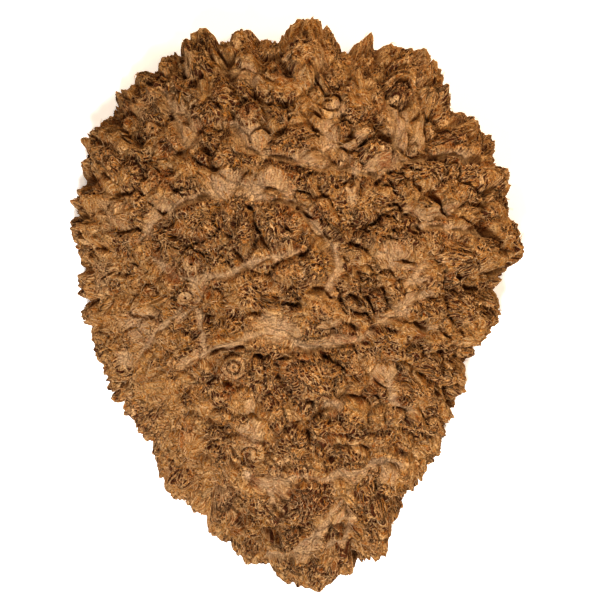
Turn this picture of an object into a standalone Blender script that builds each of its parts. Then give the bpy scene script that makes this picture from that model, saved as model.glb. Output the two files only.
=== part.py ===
"""A bark-stripped red box burl cap, sawn flat off its trunk, as one solid.

Lengths are in millimetres until the mesh is made, and metres after it. The burl lies on its sawn
back, which is the plane z = 0, with its domed and spiky growth side up (+Z) and its long way
along Y. The surface is a dome, unrolled flat from its top, on which mounds and valleys are raised
by formulas: those that stand out are placed by hand and the rest are drawn with a seed.
"""

import math

import bmesh
import bpy
import numpy as np

# Driving dimensions, in millimetres. The relief is lower over the left side, by a share that fades out
# between the two ends of LOW_SIDE, and part of the gaps between mounds are merged.
DOME_TOP = 80.0
RIM_HEIGHT = 20.0
BELOW_SAW_CUT = 9.0
MEAN_RADIUS = 165.0
CENTRE = (-5.0, 13.0)
RIM_MOUND_REACH = 5.5
VALLEY_WIDTH = 2.8
TOOTH_SPACING = 5.2
TOOTH_HEIGHT = 2.2
VALLEY_UNEVEN = 1.8
POOL_UNEVEN = 2.5
UNEVEN_LENGTH = 7.0
MOUND_BEND = 2.4
MOUND_BEND_LENGTH = 8.0
MERGED_MOUNDS = 0.75
MERGE_LENGTH = 10.0
RIDGE_SPACING = 8.5
RIDGE_HEIGHT = 1.9
RIDGE_BEND = 5.0
RIDGE_BEND_LENGTH = 17.0
LOW_RELIEF = 0.6
LOW_SIDE = (-110.0, 40.0)
SWELL_HEIGHT = 5.0
SWELL_LENGTH = 62.0

# The dome's meridian: a roundness of 2 would be an ellipse, and below its widest part it curls in
# by this share of the radius. Its slope is read over this many millimetres each way.
DOME_ROUNDNESS = 2.15
CURL_IN = 0.08
SLOPE_STEP = 1.5

# How finely the surface is raised, how many triangles are kept of it, and the shortest edge in metres.
FINE_CELLS = 270
KEPT_TRIANGLES = 11400
MERGED = 0.0001

# Steps round the outline, and how many of them the even base outline is averaged over.
OUTLINE_STEPS = 720
BASE_BLUR = 14

# Every random draw comes from this seed.
SEED = 20
NOISE_TABLE = 128

# The outline seen from above, clockwise from its top lobe: lobe tips and the notches between them.
OUTLINE = [
    (2, 191), (12, 191), (20, 186), (30, 171), (35, 171), (41, 175), (50, 181), (52, 172),
    (62, 173), (71, 171), (85, 172), (95, 159), (100, 149), (102, 139), (104, 127), (116, 129),
    (122, 123), (125, 116), (131, 114), (133, 103), (135, 94), (142, 89), (143, 85), (141, 69),
    (142, 58), (147, 53), (153, 37), (150, 29), (138, 22), (137, 14), (131, 9), (135, 1),
    (137, -6), (135, -14), (129, -19), (121, -31), (112, -39), (113, -59), (105, -63),
    (105, -76), (98, -81), (100, -87), (94, -103), (89, -106), (79, -124), (72, -127),
    (67, -143), (63, -145), (63, -157), (55, -173), (41, -171), (35, -182), (30, -180),
    (21, -189), (12, -192), (-8, -188), (-18, -176), (-25, -173), (-31, -176), (-37, -172),
    (-46, -161), (-60, -155), (-61, -141), (-68, -141), (-88, -126), (-94, -111), (-93, -106),
    (-97, -104), (-97, -95), (-105, -89), (-109, -79), (-113, -76), (-125, -61), (-132, -39),
    (-138, -23), (-137, -15), (-145, -12), (-144, -5), (-139, 3), (-145, 5), (-147, 17),
    (-142, 24), (-147, 35), (-152, 55), (-146, 59), (-151, 69), (-148, 75), (-140, 81),
    (-145, 93), (-142, 99), (-144, 109), (-137, 118), (-125, 125), (-121, 133), (-122, 143),
    (-109, 145), (-108, 155), (-95, 156), (-91, 164), (-78, 169), (-78, 175), (-61, 185),
    (-53, 177), (-47, 176), (-43, 183), (-31, 185), (-26, 177), (-11, 177), (-5, 186),
]

# Smooth valleys between the mounds, as points along their floors.
VALLEYS = [
    [(-78, -41), (-73, -38), (-59, -32), (-41, -26), (-15, -17), (6, -29), (25, -25), (43, -23), (55, -11)],
    [(-78, -10), (-69, -4), (-63, 5), (-66, 13), (-59, 17), (-47, 18), (-29, 26), (-13, 31), (-1, 34)],
    [(4, 59), (23, 38), (27, 25), (20, 10)],
    [(-65, 13), (-79, -7), (-93, -19), (-100, -29), (-106, -38)],
    [(-65, -4), (-60, -32)],
    [(-65, 15), (-79, 17), (-85, 23), (-93, 29)],
    [(-102, 41), (-100, 45), (-93, 55), (-87, 61), (-76, 65), (-65, 68), (-48, 75), (-28, 76), (-8, 73)],
    [(-25, 69), (1, 64), (15, 47), (23, 38)],
    [(-42, 117), (-36, 110), (-33, 101), (-23, 97), (-11, 95), (3, 92), (15, 88), (32, 88), (53, 83)],
    [(53, 83), (63, 93), (75, 98), (94, 98), (100, 100), (121, 93)],
    [(15, 97), (20, 109), (18, 117), (23, 125)],
    [(66, 105), (66, 117), (60, 128)],
    [(-69, 111), (-73, 105), (-79, 123), (-87, 138)],
    [(74, 61), (85, 57), (99, 59)],
    [(77, 51), (94, 51), (111, 49), (123, 46)],
    [(85, 26), (73, 13), (85, 15)],
    [(55, -12), (65, -7), (75, 3), (89, 7)],
    [(54, -45), (59, -49), (64, -64), (77, -73)],
    [(19, -65), (26, -67)],
    [(-33, -114), (-17, -120), (-3, -111), (9, -111), (19, -114), (44, -109), (56, -105), (68, -109)],
    [(-17, -123), (-14, -131)],
    [(-21, -169), (-12, -163), (-1, -158), (9, -150), (17, -143), (24, -135), (29, -131)],
    [(36, -147), (30, -157), (19, -155)],
    [(-118, -33), (-114, -40)],
]

# Wide smooth pools in the valleys: centre and radius.
POOLS = [
    (-15, -17, 13), (-28, 75, 10), (-48, 73, 8), (-8, 73, 8), (63, 28, 8), (67, -5, 8),
    (-69, 111, 8), (60, -52, 7), (-111, -37, 8), (-66, 12, 7), (22, 38, 7), (-14, -119, 6),
]

# The mounds that stand out: centre, two radii, the turn of the first radius in degrees, height.
MOUNDS = [
    (-10, 50, 15, 17, 0, 12), (-34, 46, 8, 19, 0, 10), (-65, 54, 19, 13, 0, 12),
    (-73, 4, 7, 7, 0, 8), (-68, 26, 11, 9, 0, 8), (-52, 1, 9, 11, 0, 9),
    (-41, -41, 10, 9, 0, 8), (-22, -43, 12, 11, 0, 10), (10, -45, 21, 15, 0, 13),
    (5, -128, 16, 13, 0, 11), (-3, -150, 9, 8, 0, 9), (-18, -156, 6, 6, 0, 7),
    (22, -150, 9, 6, 0, 7), (56, -164, 8, 8, 0, 8), (9, -178, 28, 10, 0, 9),
    (7, 180, 15, 9, 0, 9), (-32, 123, 9, 9, 0, 9), (-13, 126, 9, 13, 0, 10),
    (67, 135, 7, 7, 0, 9), (84, 113, 9, 11, 0, 8), (44, 111, 16, 6, 33, 9),
    (51, 98, 11, 10, 0, 9), (-3, 105, 16, 8, 0, 9),
]

# The mounds drawn by chance between them: their radii, how near two may be as a share of both
# radii, and how high they grow for their size.
DRAWN_MOUND_RADII = (5.5, 17.0)
DRAWN_MOUND_TRIES = 9000
DRAWN_MOUND_REACH = 1.03
CLOSEST_MOUNDS = 0.78
HIGHEST_FLOOR_SHARE = 0.25
LEAST_GROWTH = 3.0
GROWTH_FOR_SIZE = 0.5


def smooth_step(low, high, value):
    """0 below low, 1 above high and an S-curve between them."""
    t = np.clip((value - low) / (high - low), 0.0, 1.0)
    return t * t * (3.0 - 2.0 * t)


def smooth_noise(x, y, table):
    """Noise from -1 to 1, with one bump a unit, from a square table of random heights."""
    column = np.floor(x).astype(int)
    row = np.floor(y).astype(int)
    across = x - column
    along = y - row
    across = across * across * (3.0 - 2.0 * across)
    along = along * along * (3.0 - 2.0 * along)
    size = len(table)
    left, right = column % size, (column + 1) % size
    low, high = row % size, (row + 1) % size
    near = table[left, low] * (1.0 - across) + table[right, low] * across
    far = table[left, high] * (1.0 - across) + table[right, high] * across
    return near * (1.0 - along) + far * along


def outline_radii():
    """The outline's radius round CENTRE, in even steps of angle from the X axis over a whole turn."""
    points = np.array(OUTLINE, dtype=float) - CENTRE
    clockwise = -np.unwrap(np.arctan2(points[:, 1], points[:, 0]))
    clockwise = np.concatenate([clockwise - 2.0 * math.pi, clockwise, clockwise + 2.0 * math.pi])
    radii = np.tile(np.hypot(points[:, 0], points[:, 1]), 3)
    turn = np.arange(OUTLINE_STEPS) * 2.0 * math.pi / OUTLINE_STEPS
    return np.interp(-turn, clockwise, radii)


def blurred(values, half_width):
    """A closed row of values, averaged with its neighbours by a bell of the given half width."""
    widest = math.ceil(3 * half_width)
    offsets = np.arange(-widest, widest + 1)
    weights = np.exp(-0.5 * (offsets / half_width) ** 2)
    weights /= weights.sum()
    total = np.zeros(len(values))
    for offset, weight in zip(offsets, weights):
        total += weight * np.roll(values, -offset)
    return total


def at_angle(values, angle):
    """A closed row of values over a whole turn, read at any angle in radians."""
    place = np.mod(angle, 2.0 * math.pi) / (2.0 * math.pi) * len(values)
    return np.interp(place, np.arange(len(values) + 1), np.append(values, values[0]))


def dome_meridian():
    """The dome's meridian from its top to below the saw cut.

    Returns the share of the radius, the height and the way along at each step, and the number of
    steps down to the widest part.
    """
    turn = np.linspace(0.0, math.pi / 2.0, 400)
    power = 2.0 / DOME_ROUNDNESS
    reach = np.sin(turn) ** power
    height = RIM_HEIGHT + (DOME_TOP - RIM_HEIGHT) * np.cos(turn) ** power
    down = np.linspace(0.0, 1.0, 80)[1:]
    reach = np.append(reach, 1.0 - CURL_IN * down ** 2)
    height = np.append(height, RIM_HEIGHT - (RIM_HEIGHT + BELOW_SAW_CUT) * down)
    steps = np.hypot(np.diff(reach) * MEAN_RADIUS, np.diff(height))
    return reach, height, np.append(0.0, np.cumsum(steps)), len(turn)


class Burl:
    """The burl's surface: where a point of the unrolled dome lies, and how far it is raised."""

    def __init__(self):
        rng = np.random.default_rng(SEED)
        self.outline = outline_radii()
        self.base = blurred(self.outline, BASE_BLUR) - RIM_MOUND_REACH
        self.reach, self.height, self.way, self.widest = dome_meridian()
        self.length = self.way[-1]
        self.table = rng.uniform(-1.0, 1.0, (NOISE_TABLE, NOISE_TABLE))
        self.valleys = [self.unrolled(np.array(line, dtype=float)) for line in VALLEYS]
        pools = np.array(POOLS, dtype=float)
        self.pools = np.column_stack([self.unrolled(pools[:, :2]), pools[:, 2]])
        self.mounds = self.placed_mounds(rng)

    def unrolled(self, points):
        """Points seen from above, moved to where they lie on the dome rolled out flat."""
        away = points - CENTRE
        angle = np.arctan2(away[:, 1], away[:, 0])
        radius = at_angle(self.base, angle)
        share = np.minimum(np.hypot(away[:, 0], away[:, 1]) / radius, 0.995)
        way = np.interp(share, self.reach[:self.widest], self.way[:self.widest]) * radius / MEAN_RADIUS
        return np.column_stack([way * np.cos(angle), way * np.sin(angle)])

    def placed_mounds(self, rng):
        """The named mounds, then mounds drawn wherever there is room for one."""
        named = np.array(MOUNDS, dtype=float)
        named[:, :2] = self.unrolled(named[:, :2])
        mounds = [tuple(row) for row in named]
        count = len(mounds)
        places = np.zeros((count + DRAWN_MOUND_TRIES, 3))
        places[:count] = np.column_stack([named[:, :2], named[:, 2:4].min(axis=1)])
        limit = self.length * DRAWN_MOUND_REACH
        for _ in range(DRAWN_MOUND_TRIES):
            angle = rng.uniform(0.0, 2.0 * math.pi)
            far = math.sqrt(rng.uniform(0.0, 1.0)) * limit
            size = rng.uniform(*DRAWN_MOUND_RADII)
            stretch = rng.uniform(0.85, 1.25)
            swing = rng.normal(0.0, 25.0)
            growth = rng.uniform(0.8, 1.2)
            far = far * at_angle(self.base, angle) / MEAN_RADIUS
            spot = np.array([far * math.cos(angle), far * math.sin(angle)])
            gaps = np.hypot(places[:count, 0] - spot[0], places[:count, 1] - spot[1])
            if np.any(gaps < CLOSEST_MOUNDS * (size + places[:count, 2])):
                continue
            if self.floor_share(spot[None])[0] > HIGHEST_FLOOR_SHARE:
                continue
            height = growth * (LEAST_GROWTH + GROWTH_FOR_SIZE * size)
            mounds.append((*spot, size * stretch, size / stretch, math.degrees(angle) + swing, height))
            places[count] = (*spot, size / stretch)
            count += 1
        return np.array(mounds)

    def floor_share(self, spots):
        """1 on a valley's floor or in a pool, falling to 0 on the mounds."""
        nearest = np.full(len(spots), 1e6)
        for line in self.valleys:
            for start, end in zip(line[:-1], line[1:]):
                run = end - start
                along = np.clip(((spots - start) @ run) / (run @ run), 0.0, 1.0)
                gap = np.hypot(*(spots - start - along[:, None] * run).T)
                nearest = np.minimum(nearest, gap)
        uneven = smooth_noise(spots[:, 0] / UNEVEN_LENGTH, spots[:, 1] / UNEVEN_LENGTH + 33.0, self.table)
        nearest = np.maximum(nearest + VALLEY_UNEVEN * uneven, 0.0)
        floor = np.exp(-(nearest / VALLEY_WIDTH) ** 2)
        for x, y, radius in self.pools:
            gap = np.hypot(spots[:, 0] - x, spots[:, 1] - y) + POOL_UNEVEN * uneven
            floor = np.maximum(floor, 1.0 - smooth_step(0.3, 1.2, gap / radius))
        return floor

    def nearest_mounds(self, spots):
        """For each spot: its gaps to the nearest two mounds in their radii, and the nearer one's
        bearing and number."""
        order = np.argsort(spots[:, 0])
        x, y = spots[order].T
        first = np.full(len(spots), 4.0)
        second = first.copy()
        bearing = np.zeros(len(spots))
        owner = np.zeros(len(spots), dtype=int)
        for number, (centre_x, centre_y, long_radius, short_radius, turn, _) in enumerate(self.mounds):
            span = 3.0 * max(long_radius, short_radius)
            near = slice(*np.searchsorted(x, (centre_x - span, centre_x + span)))
            cos, sin = math.cos(math.radians(turn)), math.sin(math.radians(turn))
            across, along = x[near] - centre_x, y[near] - centre_y
            u = (across * cos + along * sin) / long_radius
            v = (along * cos - across * sin) / short_radius
            gap = np.hypot(u, v)
            closer = np.flatnonzero(gap < second[near])
            here = closer + near.start
            nearest = gap[closer] < first[here]
            second[here] = np.where(nearest, first[here], gap[closer])
            here, closer = here[nearest], closer[nearest]
            first[here] = gap[closer]
            bearing[here] = np.arctan2(v[closer], u[closer])
            owner[here] = number
        back = np.argsort(order)
        return first[back], second[back], bearing[back], owner[back]

    def raised(self, spots):
        """How far each spot of the unrolled dome stands out, in millimetres."""
        bend = np.column_stack([
            smooth_noise(spots[:, 0] / MOUND_BEND_LENGTH, spots[:, 1] / MOUND_BEND_LENGTH + shift, self.table)
            for shift in (20.0, 70.0)
        ])
        first, second, bearing, owner = self.nearest_mounds(spots + MOUND_BEND * bend)
        x, y = spots.T
        top = self.mounds[owner, 5]
        size = np.sqrt(self.mounds[owner, 2] * self.mounds[owner, 3])
        merge = smooth_noise(x / MERGE_LENGTH, y / MERGE_LENGTH + 90.0, self.table)
        merge = MERGED_MOUNDS * smooth_step(-0.3, 0.4, merge)
        flank = 1.0 - (1.0 - merge) * (1.0 - smooth_step(0.0, 0.8, second - first))
        body = top * flank * (1.0 - 0.3 * np.minimum(first, 1.5) ** 2)
        body = body * (LOW_RELIEF + (1.0 - LOW_RELIEF) * smooth_step(*LOW_SIDE, x + 0.3 * y))
        slow_x, slow_y = x / RIDGE_BEND_LENGTH, y / RIDGE_BEND_LENGTH
        flow_x = x + RIDGE_BEND * smooth_noise(slow_x, slow_y + 12.0, self.table)
        flow_y = y + RIDGE_BEND * smooth_noise(slow_x + 33.0, slow_y, self.table)
        flow = smooth_noise(flow_x / RIDGE_SPACING, flow_y / RIDGE_SPACING, self.table)
        body = body + RIDGE_HEIGHT * (0.4 - 2.0 * np.abs(flow))
        ring = size / TOOTH_SPACING + 0.5 * first
        ring_x = ring * np.cos(bearing) + 7.3 * top
        ring_y = ring * np.sin(bearing) + 5.1 * size
        teeth = 0.8 - 2.4 * np.abs(smooth_noise(ring_x, ring_y, self.table))
        crumbs = smooth_noise(x / TOOTH_SPACING, y / TOOTH_SPACING + 40.0, self.table)
        outward = smooth_step(0.15, 0.6, first)
        rough = TOOTH_HEIGHT * flank * (outward * teeth + (1.0 - 0.5 * outward) * crumbs)
        swell = SWELL_HEIGHT * smooth_noise(x / SWELL_LENGTH + 11.0, y / SWELL_LENGTH + 5.0, self.table)
        return swell + (1.0 - self.floor_share(spots)) * (body + rough)

    def surface(self, share, angle):
        """Points of the finished surface, for a share of the way down the dome and an angle."""
        way = share * self.length
        radius = at_angle(self.base, angle)
        reach = np.interp(way, self.way, self.reach)
        height = np.interp(way, self.way, self.height)
        ahead = np.minimum(way + SLOPE_STEP, self.length)
        behind = np.maximum(way - SLOPE_STEP, 0.0)
        run = (np.interp(ahead, self.way, self.reach) - np.interp(behind, self.way, self.reach)) * radius
        drop = np.interp(behind, self.way, self.height) - np.interp(ahead, self.way, self.height)
        slope = np.hypot(run, drop)
        unrolled = way * radius / MEAN_RADIUS
        spots = np.column_stack([unrolled * np.cos(angle), unrolled * np.sin(angle)])
        lift = self.raised(spots)
        out = reach * radius + lift * drop / slope
        up = height + lift * run / slope
        return out, up

    def fitted(self, share, angle, out):
        """The reach of each point, eased near the rim so that the widest points meet the outline."""
        sectors = OUTLINE_STEPS // 2
        sector = np.floor(np.mod(angle, 2.0 * math.pi) / (2.0 * math.pi) * sectors).astype(int) % sectors
        widest = np.zeros(sectors)
        np.maximum.at(widest, sector, out)
        gain = self.outline[::2] / blurred(widest, 1.2)
        eased = smooth_step(0.35, 0.8, share)
        return out * (1.0 + (at_angle(gain, angle) - 1.0) * eased)


def disc_grid():
    """A square grid from the mesh tools, pressed round into a disc of radius 1."""
    mesh = bmesh.new()
    bmesh.ops.create_grid(mesh, x_segments=FINE_CELLS, y_segments=FINE_CELLS, size=1.0)
    mesh.verts.ensure_lookup_table()
    square = np.array([vert.co[:2] for vert in mesh.verts])
    x, y = square.T
    share = np.maximum(np.abs(x), np.abs(y))
    wide = np.abs(x) >= np.abs(y)
    safe_x, safe_y = np.where(x == 0.0, 1.0, x), np.where(y == 0.0, 1.0, y)
    lean = np.where(wide, y / safe_x, x / safe_y) * math.pi / 4.0
    angle = np.where(wide, np.where(x < 0.0, math.pi, 0.0) + lean, math.pi / 2.0 - lean)
    angle = np.where(~wide & (y < 0.0), angle + math.pi, angle)
    return mesh, share, angle


def fine_mesh():
    """The whole growth side at full detail, reaching a little below the saw cut."""
    burl = Burl()
    mesh, share, angle = disc_grid()
    out, up = burl.surface(share, angle)
    out = burl.fitted(share, angle, out)
    places = np.column_stack([CENTRE[0] + out * np.cos(angle), CENTRE[1] + out * np.sin(angle), up])
    for vert, place in zip(mesh.verts, places / 1000.0):
        vert.co = place
    bmesh.ops.recalc_face_normals(mesh, faces=mesh.faces)
    return mesh


def lightened(mesh):
    """The same surface with only the triangles that its ridges and hollows need most."""
    data = bpy.data.meshes.new("fine")
    mesh.to_mesh(data)
    mesh.free()
    fine = bpy.data.objects.new("fine", data)
    bpy.context.scene.collection.objects.link(fine)
    fewer = fine.modifiers.new("fewer", "DECIMATE")
    fewer.ratio = KEPT_TRIANGLES / (2.0 * len(data.polygons))
    fewer.use_collapse_triangulate = True
    evaluated = fine.evaluated_get(bpy.context.evaluated_depsgraph_get())
    light = bpy.data.meshes.new_from_object(evaluated)
    bpy.data.objects.remove(fine, do_unlink=True)
    result = bmesh.new()
    result.from_mesh(light)
    return result


def sawn(mesh):
    """The lump cut off level at z = 0 and closed there with a flat face."""
    everything = mesh.verts[:] + mesh.edges[:] + mesh.faces[:]
    bmesh.ops.bisect_plane(
        mesh, geom=everything, dist=MERGED, plane_co=(0, 0, 0), plane_no=(0, 0, -1), clear_outer=True
    )
    for vert in mesh.verts:
        if vert.co.z < MERGED:
            vert.co.z = 0.0
    bmesh.ops.remove_doubles(mesh, verts=mesh.verts, dist=MERGED)
    bmesh.ops.contextual_create(mesh, geom=[edge for edge in mesh.edges if edge.is_boundary])
    bmesh.ops.triangulate(mesh, faces=mesh.faces)
    bmesh.ops.recalc_face_normals(mesh, faces=mesh.faces)


def wood():
    """Bare weathered burl wood."""
    material = bpy.data.materials.new("burl_wood")
    material.use_nodes = True
    shader = material.node_tree.nodes["Principled BSDF"]
    shader.inputs["Base Color"].default_value = (0.29, 0.13, 0.045, 1.0)
    shader.inputs["Roughness"].default_value = 0.75
    shader.inputs["Metallic"].default_value = 0.0
    return material


def main():
    for old in list(bpy.data.objects):
        bpy.data.objects.remove(old, do_unlink=True)
    collection = bpy.data.collections.new("red_box_burl")
    bpy.context.scene.collection.children.link(collection)
    mesh = lightened(fine_mesh())
    sawn(mesh)
    data = bpy.data.meshes.new("burl")
    mesh.to_mesh(data)
    mesh.free()
    data.shade_smooth()
    data.set_sharp_from_angle(angle=math.radians(60.0))
    data.materials.append(wood())
    burl = bpy.data.objects.new("burl", data)
    collection.objects.link(burl)


main()
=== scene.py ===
"""A bark-stripped red box burl cap: pitted, fibrous bare wood, sawn flat behind, on a pale floor."""

import math

import bpy
import numpy as np
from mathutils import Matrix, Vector
from mathutils.geometry import tessellate_polygon


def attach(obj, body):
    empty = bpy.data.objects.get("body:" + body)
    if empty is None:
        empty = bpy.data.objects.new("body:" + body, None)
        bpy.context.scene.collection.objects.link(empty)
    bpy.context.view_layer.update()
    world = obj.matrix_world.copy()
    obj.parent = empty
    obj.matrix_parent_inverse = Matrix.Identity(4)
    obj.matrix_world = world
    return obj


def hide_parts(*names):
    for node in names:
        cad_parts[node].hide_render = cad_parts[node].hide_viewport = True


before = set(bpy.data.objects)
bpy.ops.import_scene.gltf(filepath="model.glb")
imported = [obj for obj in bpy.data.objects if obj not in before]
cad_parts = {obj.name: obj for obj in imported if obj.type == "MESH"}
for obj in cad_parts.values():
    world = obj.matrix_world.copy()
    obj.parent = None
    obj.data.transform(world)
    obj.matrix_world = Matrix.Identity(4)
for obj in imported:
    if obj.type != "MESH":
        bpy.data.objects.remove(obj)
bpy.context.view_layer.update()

# The dome and its relief, in millimetres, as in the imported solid.
DOME_TOP = 80.0
RIM_HEIGHT = 20.0
BELOW_SAW_CUT = 9.0
MEAN_RADIUS = 165.0
CENTRE = (-5.0, 13.0)
RIM_MOUND_REACH = 5.5
VALLEY_WIDTH = 2.8
TOOTH_SPACING = 5.2
TOOTH_HEIGHT = 2.2
VALLEY_UNEVEN = 1.8
POOL_UNEVEN = 2.5
UNEVEN_LENGTH = 7.0
MOUND_BEND = 2.4
MOUND_BEND_LENGTH = 8.0
MERGED_MOUNDS = 0.75
MERGE_LENGTH = 10.0
RIDGE_SPACING = 8.5
RIDGE_HEIGHT = 1.9
RIDGE_BEND = 5.0
RIDGE_BEND_LENGTH = 17.0
LOW_RELIEF = 0.6
LOW_SIDE = (-110.0, 40.0)
SWELL_HEIGHT = 5.0
SWELL_LENGTH = 62.0
DOME_ROUNDNESS = 2.15
CURL_IN = 0.08
SLOPE_STEP = 1.5
INSIDE_RIM = 0.995
FIT_BLUR = 1.2
WHOLE_TURN = 2.0 * math.pi
OUTLINE_STEPS = 720
BASE_BLUR = 14
SEED = 20
NOISE_TABLE = 128
DRAWN_MOUND_RADII = (5.5, 17.0)
DRAWN_MOUND_TRIES = 9000
DRAWN_MOUND_REACH = 1.03
CLOSEST_MOUNDS = 0.78
HIGHEST_FLOOR_SHARE = 0.25
LEAST_GROWTH = 3.0
GROWTH_FOR_SIZE = 0.5

# The fine skin: cells each way, and the slices that it is made in.
SKIN_CELLS = 640
SLICES = 5
SEAM_INSET = 4.0
SEAM_NEIGHBOURS = 8

# Its pits and slits: spacing and depth in millimetres, the rest in shares of their spacing. A pit's
# width grows where the wood is open, and by chance.
PIT_SPACING = 2.1
PIT_DEPTH = 1.4
PIT_WIDTH = 0.08
PIT_WIDTH_OPEN = 0.18
PIT_WIDTH_CHANCE = 0.10
WALL_WIDTH = 0.22
SEED_SCATTER = 0.42
SLIT_LENGTH = 2.3

# Its swirls, fibres, flutes, grooves and clefts, in millimetres.
SLOW_SWIRL = 2.3
SLOW_SWIRL_LENGTH = 6.5
QUICK_SWIRL = 0.5
QUICK_SWIRL_LENGTH = 2.4
RAGGED_LENGTH = 6.0
FLUTE_SPACING = 1.8
SPIKE_HEIGHT = 1.7
THREAD_SPACING = 1.7
VALLEY_FIBRE_SPACING = 2.3
VALLEY_FIBRE_REACH = 11.0
FAN_FIBRE_SPACING = 1.9
GROOVE_WIDTH = 1.1
GROOVE_DEPTH = 2.2
INNER_HEIGHT = 1.6
CLEFT_DEPTH = 3.6
CLEFT_MARGIN = 5.0

# Shares: how far spikes lean over, how ragged a place's edge is, how much a fan's fibres spread, and
# how long and how wide a hollow is for its radius.
LEAN = 0.45
RAGGED_EDGE = 0.35
FAN_SPREAD = 0.3
HOLLOW_LENGTH = 1.5
HOLLOW_WIDTH = 0.75

# Loose threads over the skin: how high in millimetres each of their points lies, how much higher in
# one that stands up, and its share of the thread's radius. MAP_CELLS is the bake map's cells each way.
THREADS = 5600
THREAD_SIDES = 3
THREAD_LYING = (-0.7, 0.25, 0.45, 0.35, -0.1)
THREAD_STANDING = (0.0, 0.4, 1.2, 2.2, 3.4)
THREAD_TAPER = (1.0, 1.0, 0.9, 0.7, 0.35)
THREAD_POINTS = len(THREAD_TAPER)
THREAD_RADII = (0.16, 0.34)
THREAD_SLOPE_STEP = 3.0
LOWEST_THREAD_POINT = 0.0005
MAP_CELLS = 75
BAKE_MAP = "OFBake"

# The photograph: its side in pixels, millimetres a pixel at the framed height, and where its middle
# falls on the burl. The camera's heights are in metres.
PHOTO_SIDE = 600
PHOTO_SCALE = 2.0 / 3.0
PHOTO_MIDDLE = (2.0, 2.7)
CAMERA_HEIGHT = 2.6
FRAMED_HEIGHT = 0.026
SENSOR = 36.0

# The outline seen from above, clockwise from its top lobe: lobe tips and the notches between them.
OUTLINE = [
    (2, 191), (12, 191), (20, 186), (30, 171), (35, 171), (41, 175), (50, 181), (52, 172),
    (62, 173), (71, 171), (85, 172), (95, 159), (100, 149), (102, 139), (104, 127), (116, 129),
    (122, 123), (125, 116), (131, 114), (133, 103), (135, 94), (142, 89), (143, 85), (141, 69),
    (142, 58), (147, 53), (153, 37), (150, 29), (138, 22), (137, 14), (131, 9), (135, 1),
    (137, -6), (135, -14), (129, -19), (121, -31), (112, -39), (113, -59), (105, -63),
    (105, -76), (98, -81), (100, -87), (94, -103), (89, -106), (79, -124), (72, -127),
    (67, -143), (63, -145), (63, -157), (55, -173), (41, -171), (35, -182), (30, -180),
    (21, -189), (12, -192), (-8, -188), (-18, -176), (-25, -173), (-31, -176), (-37, -172),
    (-46, -161), (-60, -155), (-61, -141), (-68, -141), (-88, -126), (-94, -111), (-93, -106),
    (-97, -104), (-97, -95), (-105, -89), (-109, -79), (-113, -76), (-125, -61), (-132, -39),
    (-138, -23), (-137, -15), (-145, -12), (-144, -5), (-139, 3), (-145, 5), (-147, 17),
    (-142, 24), (-147, 35), (-152, 55), (-146, 59), (-151, 69), (-148, 75), (-140, 81),
    (-145, 93), (-142, 99), (-144, 109), (-137, 118), (-125, 125), (-121, 133), (-122, 143),
    (-109, 145), (-108, 155), (-95, 156), (-91, 164), (-78, 169), (-78, 175), (-61, 185),
    (-53, 177), (-47, 176), (-43, 183), (-31, 185), (-26, 177), (-11, 177), (-5, 186),
]

# Smooth valleys between the mounds, as points along their floors.
VALLEYS = [
    [(-78, -41), (-73, -38), (-59, -32), (-41, -26), (-15, -17), (6, -29), (25, -25), (43, -23), (55, -11)],
    [(-78, -10), (-69, -4), (-63, 5), (-66, 13), (-59, 17), (-47, 18), (-29, 26), (-13, 31), (-1, 34)],
    [(4, 59), (23, 38), (27, 25), (20, 10)],
    [(-65, 13), (-79, -7), (-93, -19), (-100, -29), (-106, -38)],
    [(-65, -4), (-60, -32)],
    [(-65, 15), (-79, 17), (-85, 23), (-93, 29)],
    [(-102, 41), (-100, 45), (-93, 55), (-87, 61), (-76, 65), (-65, 68), (-48, 75), (-28, 76), (-8, 73)],
    [(-25, 69), (1, 64), (15, 47), (23, 38)],
    [(-42, 117), (-36, 110), (-33, 101), (-23, 97), (-11, 95), (3, 92), (15, 88), (32, 88), (53, 83)],
    [(53, 83), (63, 93), (75, 98), (94, 98), (100, 100), (121, 93)],
    [(15, 97), (20, 109), (18, 117), (23, 125)],
    [(66, 105), (66, 117), (60, 128)],
    [(-69, 111), (-73, 105), (-79, 123), (-87, 138)],
    [(74, 61), (85, 57), (99, 59)],
    [(77, 51), (94, 51), (111, 49), (123, 46)],
    [(85, 26), (73, 13), (85, 15)],
    [(55, -12), (65, -7), (75, 3), (89, 7)],
    [(54, -45), (59, -49), (64, -64), (77, -73)],
    [(19, -65), (26, -67)],
    [(-33, -114), (-17, -120), (-3, -111), (9, -111), (19, -114), (44, -109), (56, -105), (68, -109)],
    [(-17, -123), (-14, -131)],
    [(-21, -169), (-12, -163), (-1, -158), (9, -150), (17, -143), (24, -135), (29, -131)],
    [(36, -147), (30, -157), (19, -155)],
    [(-118, -33), (-114, -40)],
]

# Wide smooth pools in the valleys: centre and radius.
POOLS = [
    (-15, -17, 13), (-28, 75, 10), (-48, 73, 8), (-8, 73, 8), (63, 28, 8), (67, -5, 8),
    (-69, 111, 8), (60, -52, 7), (-111, -37, 8), (-66, 12, 7), (22, 38, 7), (-14, -119, 6),
]

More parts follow.
